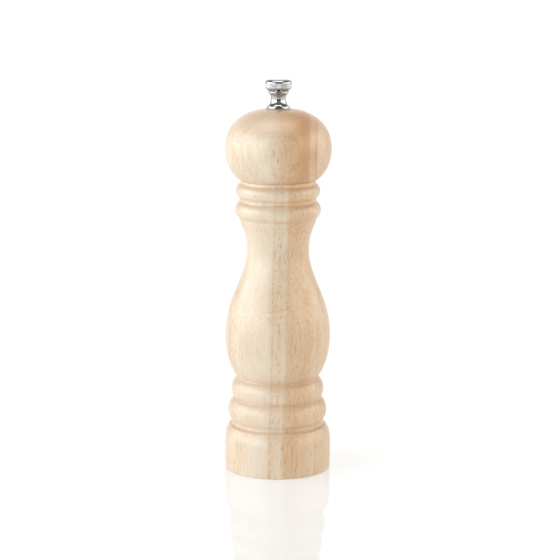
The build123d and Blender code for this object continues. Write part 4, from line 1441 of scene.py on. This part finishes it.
@dataclass
class Mechanism:
    """What stays in the body: housing, ring burr, bridge, bar and screws.

    Attributes:
        gap: Distance between the burrs, square to the axis.
        wall_top: Thickness of the ring burr at its top.
        mouth_out: How far its mouth widens below the rotor's foot.
        lug: Width, length and height of its lugs.
        fine_teeth: Its fine teeth.
        flutes: The flutes of its throat.
        screw_r: Radius over the thread of the bar's screws.
    """

    gap: float = 0.45
    wall_top: float = 3.2
    mouth_out: float = 0.95
    lug: tuple[float, float, float] = (3.0, 3.0, 1.2)
    fine_teeth: Grooves = Grooves(count=40, depth=0.6, lean=-0.004, skew=0.28, land=0.12)
    flutes: Grooves = Grooves(count=8, depth=1.3, lean=0.0076, skew=0.35, land=0.3)
    screw_r: float = 1.5

    def _ring_burr(self, shop: Workshop) -> bpy.types.Object:
        """Ring burr: fluted throat above fine teeth, with its two lugs."""
        low, top, radius = span("outer_burr")
        rotor_low = span("inner_burr")[0]
        throat_z = rotor_low + Drive.band_height
        foot_r, throat_r = Drive.rotor_foot + self.gap, Drive.throat_r + self.gap
        mouth_r, top_r = foot_r + self.mouth_out, radius - self.wall_top
        line = Outline(fine=0.6).jump(radius, (low + top) / 2).corner(radius, top, 0.25, top_r, top)
        line.to(top_r + 1.6, top).cut(b=-0.8).jump(top_r, top - 0.1)
        for k in range(1, FLUTE_STEPS + 1):
            share = k / FLUTE_STEPS
            line.cut(a=-max(0.0, (share - 0.82) / 0.18), b=-max(0.0, 1 - share * 1.05))
            line.jump(top_r + (throat_r - top_r) * share, top - 0.1 + (throat_z - top + 0.1) * share)
        line.cut(a=-1).fine = 0.3
        line.to(foot_r, rotor_low).to(mouth_r, low + 0.1)
        line.cut().jump(mouth_r + 0.9, low).corner(radius, low, 0.2, radius, (low + top) / 2)
        line.to(radius, (low + top) / 2)
        burr = shop.lathe.turn("ring_burr", line, shop.metals[Metal.BURR_STEEL], 320,
                               self.fine_teeth, self.flutes, 30)
        width, out, thick = self.lug
        shape = bmesh.new()
        shape.from_mesh(burr.data)
        for side in (-1, 1):
            made = bmesh.ops.create_cube(shape, size=MM)["verts"]
            bmesh.ops.scale(shape, vec=(width, out + 1, thick), verts=made)
            middle = (0, side * (radius + out / 2 - 0.5) * MM, (low + thick / 2) * MM)
            bmesh.ops.translate(shape, vec=middle, verts=made)
            edges = list({e for v in made for e in v.link_edges})
            bmesh.ops.bevel(shape, geom=edges, offset=0.15 * MM, segments=2, profile=0.5, affect="EDGES")
        shape.to_mesh(burr.data)
        shape.free()
        return burr

    def build(self, shop: Workshop) -> None:
        """Make the pieces and let them ride on the mill."""
        placed(self._ring_burr(shop), "mill", Metal.BURR_STEEL.value, "outer_burr")
        for node, name, ease in (("burr_housing", "pressed_housing", 0.2),
                                 ("bearing_bridge", "two_arm_bridge", 0.15),
                                 ("retaining_bar", "foot_bar", 0.2)):
            piece = eased(node, name, shop.metals[Metal.ZINC], ease)
            placed(piece, "mill", Metal.ZINC.value, node)
        low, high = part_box("retaining_screw_1")
        seat = span("retaining_bar")[0]
        screws = shop.screws("bar_screws", Metal.SCREW, 2, (low.x + high.x) / 2 / MM, seat,
                             self.screw_r, high.z / MM - seat, (high.x - low.x) / 2 / MM, seat - low.z / MM)
        placed(screws, "mill", Metal.SCREW.value, "retaining_screw_1", "retaining_screw_2")


@dataclass(frozen=True)
class Panel:
    """An upright panel of light that faces the mill from a metre away.

    Attributes:
        name: The light's name.
        bearing_deg: Where it stands, from straight in front round to the right.
        width: Its width in metres.
        glow: Its radiance; a white page that it lit fully would show as this bright.
        tint: Its colour, near white.
    """

    name: str
    bearing_deg: float
    width: float
    glow: float
    tint: tuple[float, float, float]


@dataclass
class Studio:
    """Pale glossy floor, two large panels of light, a dark front and a white back, and the camera.

    Attributes:
        distance: How far the camera stands from the axis, in metres.
        height: The camera's height.
        pitch_deg: How far it looks down.
        yaw_deg: How far it looks to the left.
        roll_deg: How far it is tipped over to the left.
        lens: Its focal length, in millimetres.
        floor_reach: Half the floor's width.
        floor_glow: How strongly the floor glows by itself away from its front.
        panel_foot: Height of the panels' lower edge.
        panel_top: Height of their upper edge.
        panels: The panels: a slightly cool one at the left, a slightly warm one at the right.
        top_light: Radiance of the soft box overhead.
        top_size: Its width and depth.
        top_place: Where it hangs.
    """

    distance: float = 1.083
    height: float = 0.316
    pitch_deg: float = 11.07
    yaw_deg: float = -0.062
    roll_deg: float = 0.19
    lens: float = 130.7
    floor_reach: float = 6.0
    floor_glow: float = 0.38
    panel_foot: float = 0.07
    panel_top: float = 0.84
    panels: tuple[Panel, ...] = (Panel("left_panel", -71.0, 2.0, 2.7, (0.97, 0.99, 1.0)),
                                 Panel("right_panel", 79.0, 1.8, 1.84, (1.0, 0.985, 0.91)))
    top_light: float = 2.1
    top_size: tuple[float, float] = (1.0, 0.8)
    top_place: tuple[float, float, float] = (-0.05, -0.05, 1.25)

    def floor(self) -> None:
        """White acrylic sheet: nearly pure white, with a faint mirror of the mill's foot."""
        mesh = bpy.data.meshes.new("studio_floor")
        r = self.floor_reach
        mesh.from_pydata([(-r, -r, 0), (r, -r, 0), (r, r, 0), (-r, r, 0)], [], [(0, 1, 2, 3)])
        floor = bpy.data.objects.new("studio_floor", mesh)
        bpy.context.scene.collection.objects.link(floor)
        material, t, shader, mm = blank("white_acrylic_sheet")
        cloud = noise(t, mm, (400, 400, 400), 1.0).outputs["Fac"]
        sheet = blend_colours(t, cloud, linear("bcbcbd"), linear("c0c0c0"))
        t.links.new(sheet, shader.inputs["Base Color"])
        shader.inputs["Roughness"].default_value = 0.06
        shader.inputs["Specular IOR Level"].default_value = 0.5
        shader.inputs["Emission Color"].default_value = (1, 1, 1, 1)
        backward = maths(t, "MULTIPLY_ADD", part(t, mm, "Y"), MM, 1.0)
        near = ramp(t, backward, [(0.0, 0.0), (0.26, 0.0), (0.54, 1.0), (1.0, 1.0)])
        t.links.new(maths(t, "MULTIPLY", near, self.floor_glow), shader.inputs["Emission Strength"])
        mesh.materials.append(material)

    def world(self) -> None:
        """A white back up to a little above the eye's level, and dark in front and overhead."""
        world = bpy.data.worlds.new("studio_world")
        bpy.context.scene.world = world
        world.use_nodes = True
        t = world.node_tree
        t.nodes.clear()
        way = add(t, "ShaderNodeTexCoord").outputs["Generated"]
        back, up = part(t, way, "Y"), part(t, way, "Z")
        behind = ramp(t, back, [(0.0, 0.0), (0.15, 0.02), (0.40, 0.48), (0.87, 0.56), (0.96, 1.0),
                                (1.0, 1.0)])
        below = ramp(t, up, [(0.0, 1.0), (0.30, 1.0), (0.60, 0.0), (1.0, 0.0)])
        all_round = ramp(t, up, [(0.0, 0.10), (0.14, 0.10), (0.30, 0.34), (0.46, 0.30), (0.60, 0.22),
                                 (1.0, 0.22)])
        strength = maths(t, "MULTIPLY_ADD", behind, below, all_round)
        sky = add(t, "ShaderNodeBackground", {"Color": (1, 1, 1, 1), "Strength": strength})
        add(t, "ShaderNodeOutputWorld", {"Surface": sky.outputs[0]})

    def lamp(self, name: str, glow: float, width: float, height: float) -> bpy.types.Object:
        """A flat light of even radiance."""
        light = bpy.data.lights.new(name, "AREA")
        light.shape = "RECTANGLE"
        light.size, light.size_y = width, height
        light.energy = glow * math.pi * light.size * light.size_y
        lamp = bpy.data.objects.new(name, light)
        bpy.context.scene.collection.objects.link(lamp)
        return lamp

    def lights(self) -> None:
        """The panels, and a soft box straight above, as wide as it is seen in the knob's bevel."""
        for panel in self.panels:
            lamp = self.lamp(panel.name, panel.glow, panel.width, self.panel_top - self.panel_foot)
            lamp.data.color = panel.tint
            turn = math.radians(panel.bearing_deg)
            lamp.location = (math.sin(turn), -math.cos(turn), (self.panel_top + self.panel_foot) / 2)
            lamp.rotation_euler = (math.pi / 2, 0, turn)
        self.lamp("overhead_soft_box", self.top_light, *self.top_size).location = self.top_place

    def camera(self) -> None:
        """Long lens, a little above the head and tilted down."""
        lens = bpy.data.cameras.new("studio_camera")
        lens.lens = self.lens
        lens.sensor_width = 36
        camera = bpy.data.objects.new("studio_camera", lens)
        camera.location = (0, -self.distance, self.height)
        pose = (Matrix.Rotation(math.radians(self.yaw_deg), 4, "Z")
                @ Matrix.Rotation(math.radians(90 - self.pitch_deg), 4, "X")
                @ Matrix.Rotation(math.radians(self.roll_deg), 4, "Z"))
        camera.rotation_euler = pose.to_euler()
        bpy.context.scene.collection.objects.link(camera)
        bpy.context.scene.camera = camera

    def build(self) -> None:
        """Set up floor, lights and camera."""
        self.floor()
        self.world()
        self.lights()
        self.camera()
        view = bpy.context.scene.view_settings
        view.view_transform = "Standard"
        view.look = "None"


def main() -> None:
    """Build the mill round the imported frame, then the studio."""
    logging.basicConfig(level=logging.INFO, format="%(name)s: %(message)s")
    shop = Workshop()
    for assembly in (Body(), Head(), Knob(), Drive(), Mechanism()):
        assembly.build(shop)
        LOG.info("%s done", type(assembly).__name__)
    Studio().build()


if __name__ == "__main__":
    main()
